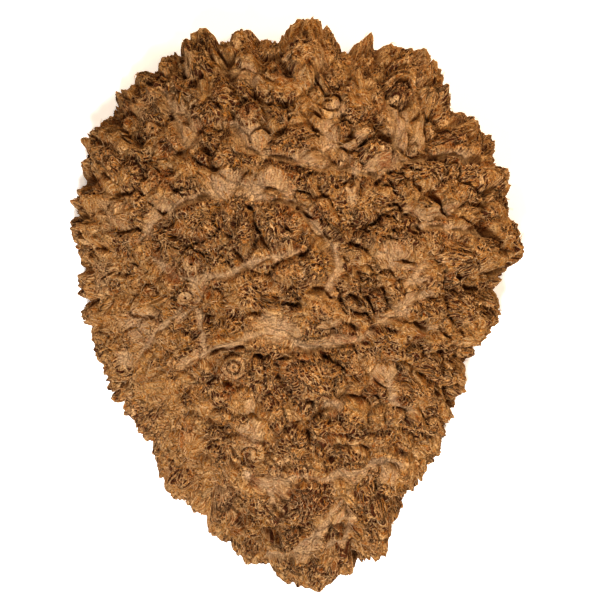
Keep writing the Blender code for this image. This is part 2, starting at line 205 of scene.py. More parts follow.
# The mounds that stand out: centre, two radii, the turn of the first radius in degrees, height.
MOUNDS = [
    (-10, 50, 15, 17, 0, 12), (-34, 46, 8, 19, 0, 10), (-65, 54, 19, 13, 0, 12),
    (-73, 4, 7, 7, 0, 8), (-68, 26, 11, 9, 0, 8), (-52, 1, 9, 11, 0, 9),
    (-41, -41, 10, 9, 0, 8), (-22, -43, 12, 11, 0, 10), (10, -45, 21, 15, 0, 13),
    (5, -128, 16, 13, 0, 11), (-3, -150, 9, 8, 0, 9), (-18, -156, 6, 6, 0, 7),
    (22, -150, 9, 6, 0, 7), (56, -164, 8, 8, 0, 8), (9, -178, 28, 10, 0, 9),
    (7, 180, 15, 9, 0, 9), (-32, 123, 9, 9, 0, 9), (-13, 126, 9, 13, 0, 10),
    (67, 135, 7, 7, 0, 9), (84, 113, 9, 11, 0, 8), (44, 111, 16, 6, 33, 9),
    (51, 98, 11, 10, 0, 9), (-3, 105, 16, 8, 0, 9),
]

# Clefts sunk into the relief and darkened with painted shade, as points along them.
CLEFTS = [
    [(-49, 99), (-28, 95), (-11, 90), (5, 86)],
    [(2, 81), (19, 83), (23, 73)],
    [(27, 83), (25, 75)],
    [(32, 84), (31, 76)],
    [(37, 83), (36, 74)],
    [(43, 81), (41, 72)],
    [(51, 78), (64, 89), (80, 95), (97, 97), (122, 90)],
    [(47, 51), (55, 58), (72, 57), (82, 49)],
    [(52, 46), (69, 44), (77, 47)],
    [(1, 60), (14, 54), (22, 43)],
    [(-30, 64), (-27, 57), (-28, 48), (-25, 36)],
    [(-47, 55), (-44, 46), (-41, 36)],
    [(-11, 58), (-6, 46)],
    [(18, 8), (32, -1), (45, -9), (47, -15), (64, -19), (80, -24), (93, -34)],
    [(-15, 4), (1, -3)],
    [(37, 45), (32, 33)],
    [(97, 16), (114, 4)],
    [(105, 33), (122, 20)],
    [(93, 62), (114, 54), (130, 41)],
    [(-58, -33), (-48, -29), (-35, -27), (-24, -31), (-20, -51)],
    [(-3, -40), (14, -34), (30, -42), (43, -55), (59, -67)],
    [(-45, -76), (-43, -92), (-34, -105)],
    [(-7, -80), (1, -92), (3, -101)],
    [(7, -78), (10, -92)],
    [(-60, -52), (-57, -46), (-52, -50)],
    [(-71, -61), (-70, -66)],
    [(72, -71), (80, -88)],
    [(18, -84), (39, -88), (64, -84)],
    [(-11, -128), (5, -119), (18, -125)],
    [(-36, -134), (-20, -150)],
    [(18, -146), (39, -151)],
    [(-77, 135), (-76, 128)],
    [(-61, 91), (-55, 86)],
    [(29, 111), (43, 106), (55, 117)],
    [(61, 81), (66, 74), (64, 66)],
    [(91, 71), (97, 62)],
]

# Hollows sunk into the relief and darkened with painted shade, longer outwards than across: centre and
# radius.
HOLLOWS = [
    (-67, 28, 3.5), (-47, 31, 2.5), (-59, 35, 2.0), (-15, 39, 3.5), (-34, -99, 3.0), (-57, -49, 3.0),
    (-41, -58, 3.0), (-113, 131, 4.0), (-84, 101, 6.0), (39, 39, 4.0), (-25, 48, 2.5), (-66, -20, 3.0),
    (-104, 89, 3.0), (14, 148, 3.5), (49, 141, 3.0), (83, 143, 3.0), (-38, 158, 3.5), (-74, 152, 3.5),
    (107, 66, 3.0), (95, 35, 3.5), (70, -47, 3.0), (-16, -134, 4.0), (1, -128, 6.0), (8, -125, 8.0),
    (16, -127, 6.0), (25, -160, 3.0),
    (119, 10, 3.0), (-88, 62, 3.0), (3, 15, 3.0), (-27, 12, 3.0), (-62, 91, 4.0), (59, 0, 5.0),
    (-59, 170, 4.0), (-32, 128, 3.5), (-18, 137, 4.5), (-11, 120, 4.0), (47, 168, 4.0), (30, 153, 3.5),
    (62, 164, 4.0), (76, 160, 3.5), (-82, 124, 4.0), (-93, 141, 4.0), (-70, 133, 4.0), (2, 160, 4.0),
    (104, 108, 4.0), (92, 128, 4.0), (-105, 112, 3.5), (-125, 95, 3.5), (-128, 45, 3.0), (-98, 8, 3.5),
    (122, 75, 3.5), (133, 25, 3.5), (105, -12, 3.5), (92, -58, 3.5), (78, -105, 3.5), (52, -135, 3.5),
    (-110, -60, 3.5), (-85, -105, 3.5), (-52, -142, 3.5), (40, -165, 3.5), (-5, -172, 3.5),
]

# Round knots: centre, radius and how many rings.
KNOTS = [
    (-41, -41, 8.2, 2), (-32, 123, 7.0, 1), (-31, -97, 5.0, 1), (-14, -108, 4.5, 1), (81, 105, 4.0, 1),
    (-68, 26, 6.5, 1), (-73, 4, 5.0, 1), (-93, 113, 5.0, 1),
]

# Broad stains: centre and radius.
RED_STAINS = [
    (-1, -43, 12), (-62, 118, 9), (-87, 81, 8), (-133, 81, 6), (-43, -54, 8), (-6, 56, 8), (60, 95, 7),
    (-112, 124, 10), (35, -18, 8), (-10, 150, 9), (101, 108, 9), (-75, -85, 9),
]
GREY_STAINS = [
    (-68, 28, 6), (-8, 48, 7), (79, 156, 9), (62, 103, 14), (-85, 60, 14), (-118, 60, 16), (-128, 20, 14),
    (-95, 128, 12), (-45, 150, 9), (-100, -20, 12), (-30, 76, 14), (20, 160, 10), (-50, -130, 12),
]
GOLD_STAINS = [
    (-15, -14, 12), (10, -22, 10), (17, -61, 8), (50, 28, 14), (85, 113, 9), (39, 65, 8), (-36, -76, 14),
    (-20, -100, 10), (66, -4, 9), (-60, 60, 10), (45, 110, 9), (60, -120, 10), (15, -145, 10),
]

# Places darkened all over by painted shade: centre, radius and how much.
SHADED = [
    (-95, 160, 130, 1.0), (-85, 20, 65, 0.7), (-105, -25, 60, 0.4), (-20, -165, 65, 0.7),
    (140, 40, 55, 0.6),
]

# Smooth fans of long fibres: centre, half length, half width, and the fibres' direction in degrees.
FANS = [
    (68, 113, 19, 9, 105), (20, 110, 17, 7, 88), (52, 91, 14, 6, 25), (85, 114, 11, 8, 60),
    (38, 108, 13, 5, 35),
    (27, 132, 9, 5, 100), (32, 97, 5, 5, 60), (-68, 109, 13, 8, 110), (-30, 108, 13, 15, 90),
    (-45, 78, 12, 14, 85), (-18, 79, 10, 12, 88), (5, 95, 15, 6, 15), (-79, 130, 15, 6, 128),
    (-32, 150, 16, 7, 155), (-70, 156, 11, 6, 112), (62, 33, 11, 13, 95), (70, 24, 16, 3, 0),
    (60, -9, 12, 5, 5), (74, 2, 9, 4, 40), (20, -13, 11, 3, 8), (-12, -16, 19, 8, -5), (22, -24, 22, 4, 2),
    (24, -67, 8, 6, 90), (57, -47, 7, 14, 120), (-31, -67, 6, 5, 80), (-30, -84, 11, 10, 60),
    (-15, -118, 15, 9, -10),
    (38, -110, 20, 5, 4), (5, -158, 17, 7, 35), (30, -140, 9, 8, 60), (-90, 60, 13, 5, 40),
    (-98, 45, 4, 5, 90),
    (-63, 12, 8, 6, 60), (-104, -12, 14, 12, 30), (-72, -38, 12, 5, 35), (92, 62, 12, 3, 15),
    (36, 72, 10, 5, 85), (88, -16, 10, 4, 0), (62, -112, 8, 8, 100), (-45, -28, 14, 3, 15),
]

# Wide felted places where the relief is low, and mounds that are full of pits: centre and radius.
FELTED = [
    (-128, 60, 26), (-118, -8, 26), (-98, -55, 20), (-78, -85, 20), (-60, -118, 14), (-30, -84, 13),
    (70, 116, 16),
]
PITTED = [
    (45, 99, 10), (66, 136, 8), (35, 127, 8), (98, 113, 9), (66, 82, 12), (82, 88, 10), (100, 86, 9),
    (116, 75, 12), (20, 77, 8), (-6, 87, 10), (-62, 60, 14), (-73, 5, 7), (-48, 30, 9), (-66, -19, 9),
    (-55, -14, 8), (-42, -12, 9), (-25, 9, 8), (-28, 21, 9), (-4, 4, 10), (-57, 120, 10), (-32, 126, 8),
    (-13, 124, 8), (0, 106, 11), (66, 55, 13), (42, 42, 6), (54, 3, 7), (30, -26, 14), (25, -34, 12),
    (48, -28, 8), (12, -48, 20), (70, -30, 14), (92, -45, 12), (-24, -40, 8), (-20, -58, 12), (-60, -52, 9),
    (-5, -88, 12), (3, -103, 8), (30, -100, 12), (4, -130, 14), (-4, -149, 9), (45, -122, 12),
    (24, -152, 9),
    (-8, -168, 10), (15, -170, 12), (58, -128, 9), (105, 8, 10), (112, 28, 12), (84, 8, 12), (-88, 42, 7),
    (40, 14, 8), (28, 13, 6), (10, 22, 8), (-52, 48, 9), (-34, 48, 9), (-10, 52, 14), (-100, 92, 12),
]

# Round or long mounds with a groove round them: centre, two radii, the turn of the first in degrees.
OVALS = [
    (66, 55, 15, 6.5, 0), (-73, 5, 7.5, 7.5, 0), (-55, 2, 8, 9, 0), (81, 106, 5, 4, 0), (42, 42, 6.5, 6, 0),
    (13, 20, 5.5, 5.5, 0), (29, 14, 5.5, 5, 0), (42, 14, 5, 7, 0), (54, 3, 7, 6, 0), (-68, 26, 8.5, 8.5, 0),
    (-32, 126, 10, 10, 0), (-57, 120, 9, 10, 0), (-13, 124, 8, 12, 0), (-30, -86, 17, 15, 0),
    (-14, -102, 7, 6, 0), (10, -48, 24, 15, -25), (-23, -41, 9, 8, 0), (20, -94, 8, 7, 0),
    (5, -129, 16, 12, 0),
    (-4, -149, 9, 8, 0), (-18, -153, 6, 6, 0), (17, -148, 5, 5, 0), (27, -149, 5, 6, 0),
    (-50, -74, 8, 7, 0),
    (-43, -54, 5, 5, 0), (-52, -47, 5, 5, 0), (-97, 9, 4, 5, 0), (52, 99, 12, 9, 0), (42, 110, 16, 6, 33),
    (66, 136, 6, 9, 0), (-65, 55, 18, 13, 0), (-34, 46, 8, 17, 0), (-10, 49, 14, 16, 0), (22, -72, 7, 5, 0),
    (62, -61, 8, 4, 0), (70, 84, 8, 14, 0), (33, -17, 15, 4, -25), (-60, 93, 7, 4, -30),
]

# Painted shade on the sides of mounds that face away from the light: centre and radius.
PAINTED_SIDE_SHADE = [
    (-80, 18, 7), (-62, 42, 6), (-92, 34, 6), (-75, 50, 6), (-58, 8, 5), (-40, -150, 6), (-30, -160, 6),
    (54, 4, 6), (1, -124, 10), (10, -123, 12), (17, -128, 8), (-51, -46, 5), (-43, -53, 4), (-84, 100, 7),
    (-60, 92, 5), (-4, 87, 7),
    (60, -31, 5), (52, -54, 7), (44, -60, 6), (80, -22, 6), (-3, -144, 5), (-18, -150, 5), (27, -146, 4),
    (20, -88, 6), (24, -73, 4), (-33, 124, 6), (66, 137, 5), (76, 61, 4), (48, -32, 5), (34, 21, 4),
    (14, 58, 5),
    (45, 9, 4), (-50, 136, 5), (-76, 139, 4), (70, -48, 5), (-28, -115, 4), (-38, -143, 7), (25, -166, 5),
    (14, -168, 5), (60, -140, 6), (44, -127, 5), (-70, 60, 5), (-26, 56, 3), (-67, 30, 4), (-96, 9, 4),
    (70, -63, 5), (68, -96, 4), (-12, -36, 5), (97, 45, 4), (122, 52, 4), (102, 20, 4), (-86, 85, 4),
]


def smooth_step(low, high, value):
    """0 below low, 1 above high and an S-curve between them."""
    t = np.clip((value - low) / (high - low), 0.0, 1.0)
    return t * t * (3.0 - 2.0 * t)


def fade(low, high, value):
    """1 below low, 0 above high and an S-curve between them."""
    return 1.0 - smooth_step(low, high, value)


def blend(one, other, share):
    """One value turned into another by a share from 0 to 1."""
    return one + (other - one) * share


def most(*values):
    """The greatest of several arrays of values, place by place."""
    return np.maximum.reduce(values)


def polar(far, angle):
    """Points at distances and angles from the middle."""
    return np.column_stack([far * np.cos(angle), far * np.sin(angle)])


def direction(degrees):
    """The cosine and sine of an angle in degrees."""
    return math.cos(math.radians(degrees)), math.sin(math.radians(degrees))


def turned(x, y, cos, sin):
    """Steps right and up, told as steps along a direction and across it."""
    return x * cos + y * sin, y * cos - x * sin


def steps_from(spots, x, y):
    """How far right of a place and how far above it each spot is."""
    return spots[:, 0] - x, spots[:, 1] - y


def beside_run(spots, start, end):
    """How far along a straight run each spot is, from 0 to 1, and its gap to the run."""
    run = end - start
    along = np.clip(((spots - start) @ run) / (run @ run), 0.0, 1.0)
    return along, np.hypot(*(spots - start - along[:, None] * run).T)


def cover(spots, places, ragged=0.0, core=0.4, edge=1.2):
    """1 inside round places, falling to 0 round them, times a place's strength where it has one."""
    share = np.zeros(len(spots))
    for x, y, radius, *strength in places:
        gap = np.hypot(*steps_from(spots, x, y)) / radius
        share = np.maximum(share, math.prod(strength) * fade(core, edge, gap + ragged))
    return share


def smooth_noise(x, y, table):
    """Noise from -1 to 1, with one bump a unit, from a square table of random heights."""
    column, row = np.floor(x).astype(int), np.floor(y).astype(int)
    across, along = smooth_step(0.0, 1.0, x - column), smooth_step(0.0, 1.0, y - row)
    size = len(table)
    left, right = column % size, (column + 1) % size
    low, high = row % size, (row + 1) % size
    near = table[left, low] * (1.0 - across) + table[right, low] * across
    far = table[left, high] * (1.0 - across) + table[right, high] * across
    return near * (1.0 - along) + far * along


def bumps(x, y, table, length, right=0.0, up=0.0):
    """Smooth noise with bumps of a length in millimetres, read from a shifted part of its table."""
    return smooth_noise(x / length + right, y / length + up, table)


def ridges(x, y, table):
    """Sharp ridges, up to 1 high, where smooth noise passes through 0."""
    return 1.0 - 2.0 * np.abs(smooth_noise(x, y, table))


def rough_noise(x, y, table, length, octaves):
    """Noise with finer and finer noise on it, each octave half as high."""
    total = 0.0
    for octave in range(octaves):
        finer = 2.0 ** octave
        total = total + smooth_noise(x / length * finer + 17.0 * octave, y / length * finer, table) / finer
    return total


def pits(x, y, table, other_table, open_share, shift=0):
    """Pits at scattered seeds, about one a unit, and the thin walls half way between them."""
    size = len(table)
    column, row = np.floor(x).astype(int), np.floor(y).astype(int)
    first = np.full(x.shape, 9.0)
    second = first.copy()
    chance = np.zeros(x.shape)
    for step_x in (-1, 0, 1):
        for step_y in (-1, 0, 1):
            next_column, next_row = column + step_x, row + step_y
            key = ((next_column + shift) % size, (next_row + 3 * shift) % size)
            seed_x = next_column + 0.5 + SEED_SCATTER * table[key]
            seed_y = next_row + 0.5 + SEED_SCATTER * other_table[key]
            gap = np.hypot(x - seed_x, y - seed_y)
            nearest = gap < first
            second = np.where(nearest, first, np.minimum(second, gap))
            chance = np.where(nearest, table[key[1], key[0]], chance)
            first = np.where(nearest, gap, first)
    width = PIT_WIDTH + PIT_WIDTH_OPEN * open_share + PIT_WIDTH_CHANCE * chance
    return fade(width - 0.08, width + 0.14, first), fade(0.0, WALL_WIDTH, second - first)


def outline_radii():
    """The outline's radius round CENTRE, in even steps of angle from the X axis over a whole turn."""
    points = np.array(OUTLINE, dtype=float) - CENTRE
    clockwise = -np.unwrap(np.arctan2(points[:, 1], points[:, 0]))
    clockwise = np.concatenate([clockwise - WHOLE_TURN, clockwise, clockwise + WHOLE_TURN])
    radii = np.tile(np.hypot(points[:, 0], points[:, 1]), 3)
    turn = np.arange(OUTLINE_STEPS) * WHOLE_TURN / OUTLINE_STEPS
    return np.interp(-turn, clockwise, radii)


def blurred(values, half_width):
    """A closed row of values, averaged with its neighbours by a bell of the given half width."""
    widest = math.ceil(3 * half_width)
    offsets = np.arange(-widest, widest + 1)
    weights = np.exp(-0.5 * (offsets / half_width) ** 2)
    weights /= weights.sum()
    total = np.zeros(len(values))
    for offset, weight in zip(offsets, weights):
        total += weight * np.roll(values, -offset)
    return total


def at_angle(values, angle):
    """A closed row of values over a whole turn, read at any angle in radians."""
    place = np.mod(angle, WHOLE_TURN) / WHOLE_TURN * len(values)
    return np.interp(place, np.arange(len(values) + 1), np.append(values, values[0]))


def dome_meridian():
    """The dome's meridian from its top to below the saw cut.

    Returns the share of the radius, the height and the way along at each step, and the number of
    steps down to the widest part.
    """
    turn = np.linspace(0.0, math.pi / 2.0, 400)
    power = 2.0 / DOME_ROUNDNESS
    down = np.linspace(0.0, 1.0, 80)[1:]
    reach = np.append(np.sin(turn) ** power, 1.0 - CURL_IN * down ** 2)
    height = RIM_HEIGHT + (DOME_TOP - RIM_HEIGHT) * np.cos(turn) ** power
    height = np.append(height, RIM_HEIGHT - (RIM_HEIGHT + BELOW_SAW_CUT) * down)
    steps = np.hypot(np.diff(reach) * MEAN_RADIUS, np.diff(height))
    return reach, height, np.append(0.0, np.cumsum(steps)), len(turn)


class Burl:
    """The burl's surface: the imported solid's dome and mounds, with the fine skin raised on them."""

    def __init__(self):
        rng = np.random.default_rng(SEED)
        self.outline = outline_radii()
        self.base = blurred(self.outline, BASE_BLUR) - RIM_MOUND_REACH
        self.reach, self.height, self.way, self.widest = dome_meridian()
        self.length = self.way[-1]
        self.saw_cut = np.interp(0.0, -self.height, self.way)
        self.table = rng.uniform(-1.0, 1.0, (NOISE_TABLE, NOISE_TABLE))
        self.valleys, self.clefts = (
            [self.rolled_out(line) for line in lines] for lines in (VALLEYS, CLEFTS)
        )
        self.pools, self.hollows, self.knots = map(self.rolled_out, (POOLS, HOLLOWS, KNOTS))
        self.stains = [self.rolled_out(places) for places in (RED_STAINS, GREY_STAINS, GOLD_STAINS)]
        self.shaded, self.fans, self.ovals = map(self.rolled_out, (SHADED, FANS, OVALS))
        # The last of these are the places of painted shade on the sides of mounds.
        self.felted, self.pitted, self.brown = map(self.rolled_out, (FELTED, PITTED, PAINTED_SIDE_SHADE))
        self.mounds = self.placed_mounds(rng)
        self.other = rng.uniform(-1.0, 1.0, (NOISE_TABLE, NOISE_TABLE))

    def laid_flat(self, way, angle):
        """How far out a way down the dome ends at an angle, on the dome rolled out flat."""
        return way * at_angle(self.base, angle) / MEAN_RADIUS

    def rolled_out(self, places):
        """A table whose first two columns are places seen from above, moved to where they lie on the
        dome rolled out flat."""
        table = np.array(places, dtype=float)
        away = table[:, :2] - CENTRE
        angle = np.arctan2(away[:, 1], away[:, 0])
        share = np.minimum(np.hypot(away[:, 0], away[:, 1]) / at_angle(self.base, angle), INSIDE_RIM)
        way = np.interp(share, self.reach[:self.widest], self.way[:self.widest])
        table[:, :2] = polar(self.laid_flat(way, angle), angle)
        return table

    def placed_mounds(self, rng):
        """The named mounds, then mounds drawn wherever there is room for one."""
        named = self.rolled_out(MOUNDS)
        mounds = [tuple(row) for row in named]
        count = len(mounds)
        places = np.zeros((count + DRAWN_MOUND_TRIES, 3))
        places[:count] = np.column_stack([named[:, :2], named[:, 2:4].min(axis=1)])
        limit = self.length * DRAWN_MOUND_REACH
        for _ in range(DRAWN_MOUND_TRIES):
            angle = rng.uniform(0.0, WHOLE_TURN)
            far = math.sqrt(rng.uniform(0.0, 1.0)) * limit
            size = rng.uniform(*DRAWN_MOUND_RADII)
            stretch = rng.uniform(0.85, 1.25)
            swing = rng.normal(0.0, 25.0)
            growth = rng.uniform(0.8, 1.2)
            far = self.laid_flat(far, angle)
            spot = np.array([far * math.cos(angle), far * math.sin(angle)])
            gaps = np.hypot(*steps_from(places[:count], *spot))
            if np.any(gaps < CLOSEST_MOUNDS * (size + places[:count, 2])):
                continue
            if self.valley_floor(spot[None])[0][0] > HIGHEST_FLOOR_SHARE:
                continue
            height = growth * (LEAST_GROWTH + GROWTH_FOR_SIZE * size)
            mounds.append((*spot, size * stretch, size / stretch, math.degrees(angle) + swing, height))
            places[count] = (*spot, size / stretch)
            count += 1
        return np.array(mounds)

    def valley_floor(self, spots):
        """1 on a valley's floor, falling to 0 on the mounds; how far along the valley, and off it."""
        nearest = np.full(len(spots), 1e6)
        reached = np.zeros(len(spots))
        travelled = 0.0
        for line in self.valleys:
            for start, end in zip(line[:-1], line[1:]):
                along, gap = beside_run(spots, start, end)
                length = math.hypot(*(end - start))
                closer = gap < nearest
                nearest = np.where(closer, gap, nearest)
                reached = np.where(closer, travelled + along * length, reached)
                travelled += length
        uneven = bumps(*spots.T, self.table, UNEVEN_LENGTH, 0.0, 33.0)
        nearest = np.maximum(nearest + VALLEY_UNEVEN * uneven, 0.0)
        floor = np.exp(-(nearest / VALLEY_WIDTH) ** 2)
        for x, y, radius in self.pools:
            gap = np.hypot(*steps_from(spots, x, y)) + POOL_UNEVEN * uneven
            floor = np.maximum(floor, fade(0.3, 1.2, gap / radius))
        return floor, reached, nearest

    def sunken(self, spots):
        """How deep each spot lies in a cleft or a hollow, from 0 to 1."""
        depth = np.zeros(len(spots))
        for line in self.clefts:
            low, high = line.min(axis=0) - CLEFT_MARGIN, line.max(axis=0) + CLEFT_MARGIN
            near = np.flatnonzero(np.all((spots > low) & (spots < high), axis=1))
            gaps = [beside_run(spots[near], start, end)[1] for start, end in zip(line[:-1], line[1:])]
            depth[near] = np.maximum(depth[near], fade(0.2, 2.2, np.minimum.reduce(gaps)))
        for x, y, radius in self.hollows:
            away = math.hypot(x, y)
            outward, across = turned(*steps_from(spots, x, y), x, y)
            gap = np.hypot(outward / away / HOLLOW_LENGTH, across / away / HOLLOW_WIDTH) / radius
            depth = np.maximum(depth, fade(0.3, 1.2, gap))
        return depth

    def ringed(self, spots):
        """Where the round knots are, and how deep each spot lies in one of their ring grooves."""
        inside = np.zeros(len(spots))
        groove = np.zeros(len(spots))
        for x, y, radius, rings in self.knots:
            gap = np.hypot(*steps_from(spots, x, y)) / radius
            here = fade(0.95, 1.25, gap)
            inside = np.maximum(inside, here)
            wave = np.cos(WHOLE_TURN * rings * np.minimum(gap, 1.25))
            groove = np.maximum(groove, here * smooth_step(0.2, 0.9, wave))
        return inside, groove

    def fanned(self, spots, ragged):
        """The share of a smooth fan at each spot, and how far across and along its fibres it lies."""
        share, across, along = np.zeros((3, len(spots)))
        for x, y, length, width, turn in self.fans:
            u, v = turned(*steps_from(spots, x, y), *direction(turn))
            here = fade(0.55, 1.15, np.hypot(u / length, v / width) + 0.6 * ragged)
            more = here > share
            share = np.where(more, here, share)
            across = np.where(more, v / (1.0 + FAN_SPREAD * np.clip(u / length, -1.0, 1.0)) + x, across)
            along = np.where(more, u, along)
        return share, across, along

    def edged(self, spots):
        """How deep each spot lies in the groove round a named mound, and how high up on that mound."""
        groove = np.zeros(len(spots))
        inner = np.zeros(len(spots))
        for x, y, long_radius, short_radius, turn in self.ovals:
            u, v = turned(*steps_from(spots, x, y), *direction(turn))
            gap = np.hypot(u / long_radius, v / short_radius)
            off = (gap - 1.0) * min(long_radius, short_radius) / GROOVE_WIDTH
            groove = np.maximum(groove, np.exp(-off ** 2))
            inner = np.maximum(inner, 1.0 - gap ** 2)
        return groove, inner

    def nearest_mounds(self, spots):
        """For each spot: its gaps to the nearest two mounds in their radii, and the nearer one's
        bearing and number."""
        order = np.argsort(spots[:, 0])
        ordered, sorted_x = spots[order], spots[order, 0]
        first = np.full(len(spots), 4.0)
        second = first.copy()
        bearing = np.zeros(len(spots))
        owner = np.zeros(len(spots), dtype=int)
        for number, (x, y, long_radius, short_radius, turn, _) in enumerate(self.mounds):
            span = 3.0 * max(long_radius, short_radius)
            near = slice(*np.searchsorted(sorted_x, (x - span, x + span)))
            u, v = turned(*steps_from(ordered[near], x, y), *direction(turn))
            u, v = u / long_radius, v / short_radius
            gap = np.hypot(u, v)
            closer = np.flatnonzero(gap < second[near])
            here = closer + near.start
            nearest = gap[closer] < first[here]
            second[here] = np.where(nearest, first[here], gap[closer])
            here, closer = here[nearest], closer[nearest]
            first[here] = gap[closer]
            bearing[here] = np.arctan2(v[closer], u[closer])
            owner[here] = number
        back = np.argsort(order)
        return first[back], second[back], bearing[back], owner[back]

    def mound_chance(self, owner, factor):
        """A random number from -1 to 1 for each spot's mound."""
        return self.table[owner % NOISE_TABLE, (factor * owner) % NOISE_TABLE]

    def skin(self, spots):
        """The relief of each spot of the unrolled dome: how far it stands out, which way it leans,
        and the shares that colour it."""
        table, other = self.table, self.other
        x, y = spots.T
        bend = np.column_stack([bumps(x, y, table, MOUND_BEND_LENGTH, 0.0, up) for up in (20.0, 70.0)])
        first, second, bearing, owner = self.nearest_mounds(spots + MOUND_BEND * bend)
        floor, valley_along, valley_off = self.valley_floor(spots)
        clear = 1.0 - floor
        long_radius, short_radius, mound_turn, top = self.mounds[owner, 2:].T
        size = np.sqrt(long_radius * short_radius)

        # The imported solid's own relief.
        merge = MERGED_MOUNDS * smooth_step(-0.3, 0.4, bumps(x, y, table, MERGE_LENGTH, 0.0, 90.0))
        flank = 1.0 - (1.0 - merge) * fade(0.0, 0.8, second - first)
        body = top * flank * (1.0 - 0.3 * np.minimum(first, 1.5) ** 2)
        body = body * (LOW_RELIEF + (1.0 - LOW_RELIEF) * smooth_step(*LOW_SIDE, x + 0.3 * y))
        flow_x = x + RIDGE_BEND * bumps(x, y, table, RIDGE_BEND_LENGTH, 0.0, 12.0)
        flow_y = y + RIDGE_BEND * bumps(x, y, table, RIDGE_BEND_LENGTH, 33.0)
        body = body + RIDGE_HEIGHT * (0.4 - 2.0 * np.abs(bumps(flow_x, flow_y, table, RIDGE_SPACING)))
        ring = size / TOOTH_SPACING + 0.5 * first
        teeth = smooth_noise(ring * np.cos(bearing) + 7.3 * top, ring * np.sin(bearing) + 5.1 * size, table)
        teeth = 0.8 - 2.4 * np.abs(teeth)
        crumbs = bumps(x, y, table, TOOTH_SPACING, 0.0, 40.0)
        outward = smooth_step(0.15, 0.6, first)
        rough = TOOTH_HEIGHT * flank * (outward * teeth + (1.0 - 0.5 * outward) * crumbs)
        swell = SWELL_HEIGHT * bumps(x, y, table, SWELL_LENGTH, 11.0, 5.0)

        # Swirling pits on top of each mound, slits in rings down its flanks.
        swirl_x, swirl_y = (
            SLOW_SWIRL * bumps(x, y, other, SLOW_SWIRL_LENGTH, 0.0, slow)
            + QUICK_SWIRL * bumps(x, y, table, QUICK_SWIRL_LENGTH, 0.0, quick)
            for slow, quick in ((0.0, 0.0), (31.0, 47.0))
        )
        warp = np.column_stack([swirl_x, swirl_y])
        bent_x, bent_y = x + swirl_x, y + swirl_y
        ragged = RAGGED_EDGE * rough_noise(x, y, other, RAGGED_LENGTH, 3)
        felt = cover(spots, self.felted, ragged)
        fans, fan_across, fan_length = self.fanned(spots + 0.5 * warp, ragged)
        rim_groove, inner = self.edged(spots + 0.4 * warp)
        porous = bumps(x, y, other, 9.0) + 0.5 * bumps(x, y, table, 4.0)
        porous = porous + 1.2 * cover(spots, self.pitted, ragged) - 0.7 * felt
        open_share = smooth_step(-0.5, 0.7, porous)
        round_pit, round_wall = pits(bent_x / PIT_SPACING, bent_y / PIT_SPACING, table, other, open_share)
        around = np.maximum(np.round(WHOLE_TURN * 0.8 * size / FLUTE_SPACING), 5.0)
        turn = bearing / WHOLE_TURN * around + 0.45 * swirl_x
        down = first * size / (SLIT_LENGTH * FLUTE_SPACING) + 0.30 * swirl_y
        long_pit, long_wall = pits(down, turn, table, other, open_share, 5 * owner)
        sides = smooth_step(0.30, 0.60, first)
        pit = blend(round_pit, long_pit, sides) * (0.3 + 0.5 * open_share)
        wall = blend(round_wall, long_wall, sides)
        thread = np.maximum(1.0 - 2.2 * np.abs(bumps(bent_x, bent_y, other, THREAD_SPACING)), 0.0)

        # Flutes run down the flanks and fan out, and end in spikes round the top.
        crest = np.maximum(ridges(turn * 0.9, 0.25 * down + 3.7 * owner, other), 0.0) * sides
        spike = np.maximum(smooth_noise(turn * 0.5, 0.45 * down + 1.9 * owner, table), 0.0) * sides

        # Long fibres fan out of the valleys and up the flanks beside them.
        fan_along = valley_along + 0.8 * swirl_x
        fan = ridges(fan_along / VALLEY_FIBRE_SPACING, valley_off / 9.0 + 0.15 * swirl_y, other)
        beside = np.exp(-(valley_off / VALLEY_FIBRE_REACH) ** 2)
        crumb = rough_noise(x, y, other, THREAD_SPACING, 2)
        fan_ridge = ridges(fan_across / FAN_FIBRE_SPACING, fan_length / 11.0 + 25.0, other)

        fine = (0.3 + 0.7 * flank) * (1.0 - 0.6 * felt) * (0.65 + 0.35 * open_share) * (
            0.6 * crest + SPIKE_HEIGHT * spike + 0.35 * wall + 0.4 * thread - PIT_DEPTH * pit + 0.3 * crumb
        )
        fine = blend(fine, 1.1 * fan + 0.25 * thread - 0.6 * PIT_DEPTH * pit * clear, 0.6 * beside)
        fine = blend(fine, 0.45 * fan + 0.15 * crumb, floor)
        fine = blend(fine, 0.6 * fan_ridge + 0.15 * crumb, 0.9 * fans)
        fine = fine + INNER_HEIGHT * inner - GROOVE_DEPTH * rim_groove * clear
        sunken = self.sunken(spots + 0.9 * warp)
        sunken = sunken * (0.35 + 0.65 * smooth_step(-0.5, 0.3, bumps(x, y, table, 4.5, 0.0, 66.0)))
        knots, knot_groove = self.ringed(spots + 0.12 * warp)
        fine = blend(fine, 0.15 * fine + INNER_HEIGHT - GROOVE_DEPTH * knot_groove, knots)
        eased = 1.0 - most(0.85 * knots, 0.7 * fans, 0.4 * felt)
        lift = swell + clear * (body + rough * eased) + (fine - CLEFT_DEPTH * sunken)
        lean = LEAN * ((0.9 * crest + SPIKE_HEIGHT * spike + 0.5 * wall) * clear * flank) * sides
        facing = bearing + np.radians(mound_turn)

        # Which way the fibres run: round a fan, a valley or a mound's flank, or any way on its top.
        lay = 6.28 * self.mound_chance(owner, 3)
        top_across, top_along = turned(bent_x, bent_y, np.cos(lay), np.sin(lay))
        kinds = [fans > 0.25, beside > 0.6, sides > 0.5]
        down_way = down * SLIT_LENGTH * FLUTE_SPACING
        fibre_across = np.select(kinds, [fan_across, fan_along, turn * FLUTE_SPACING], top_across)
        fibre_along = np.select(kinds, [fan_length, valley_off, down_way], top_along)
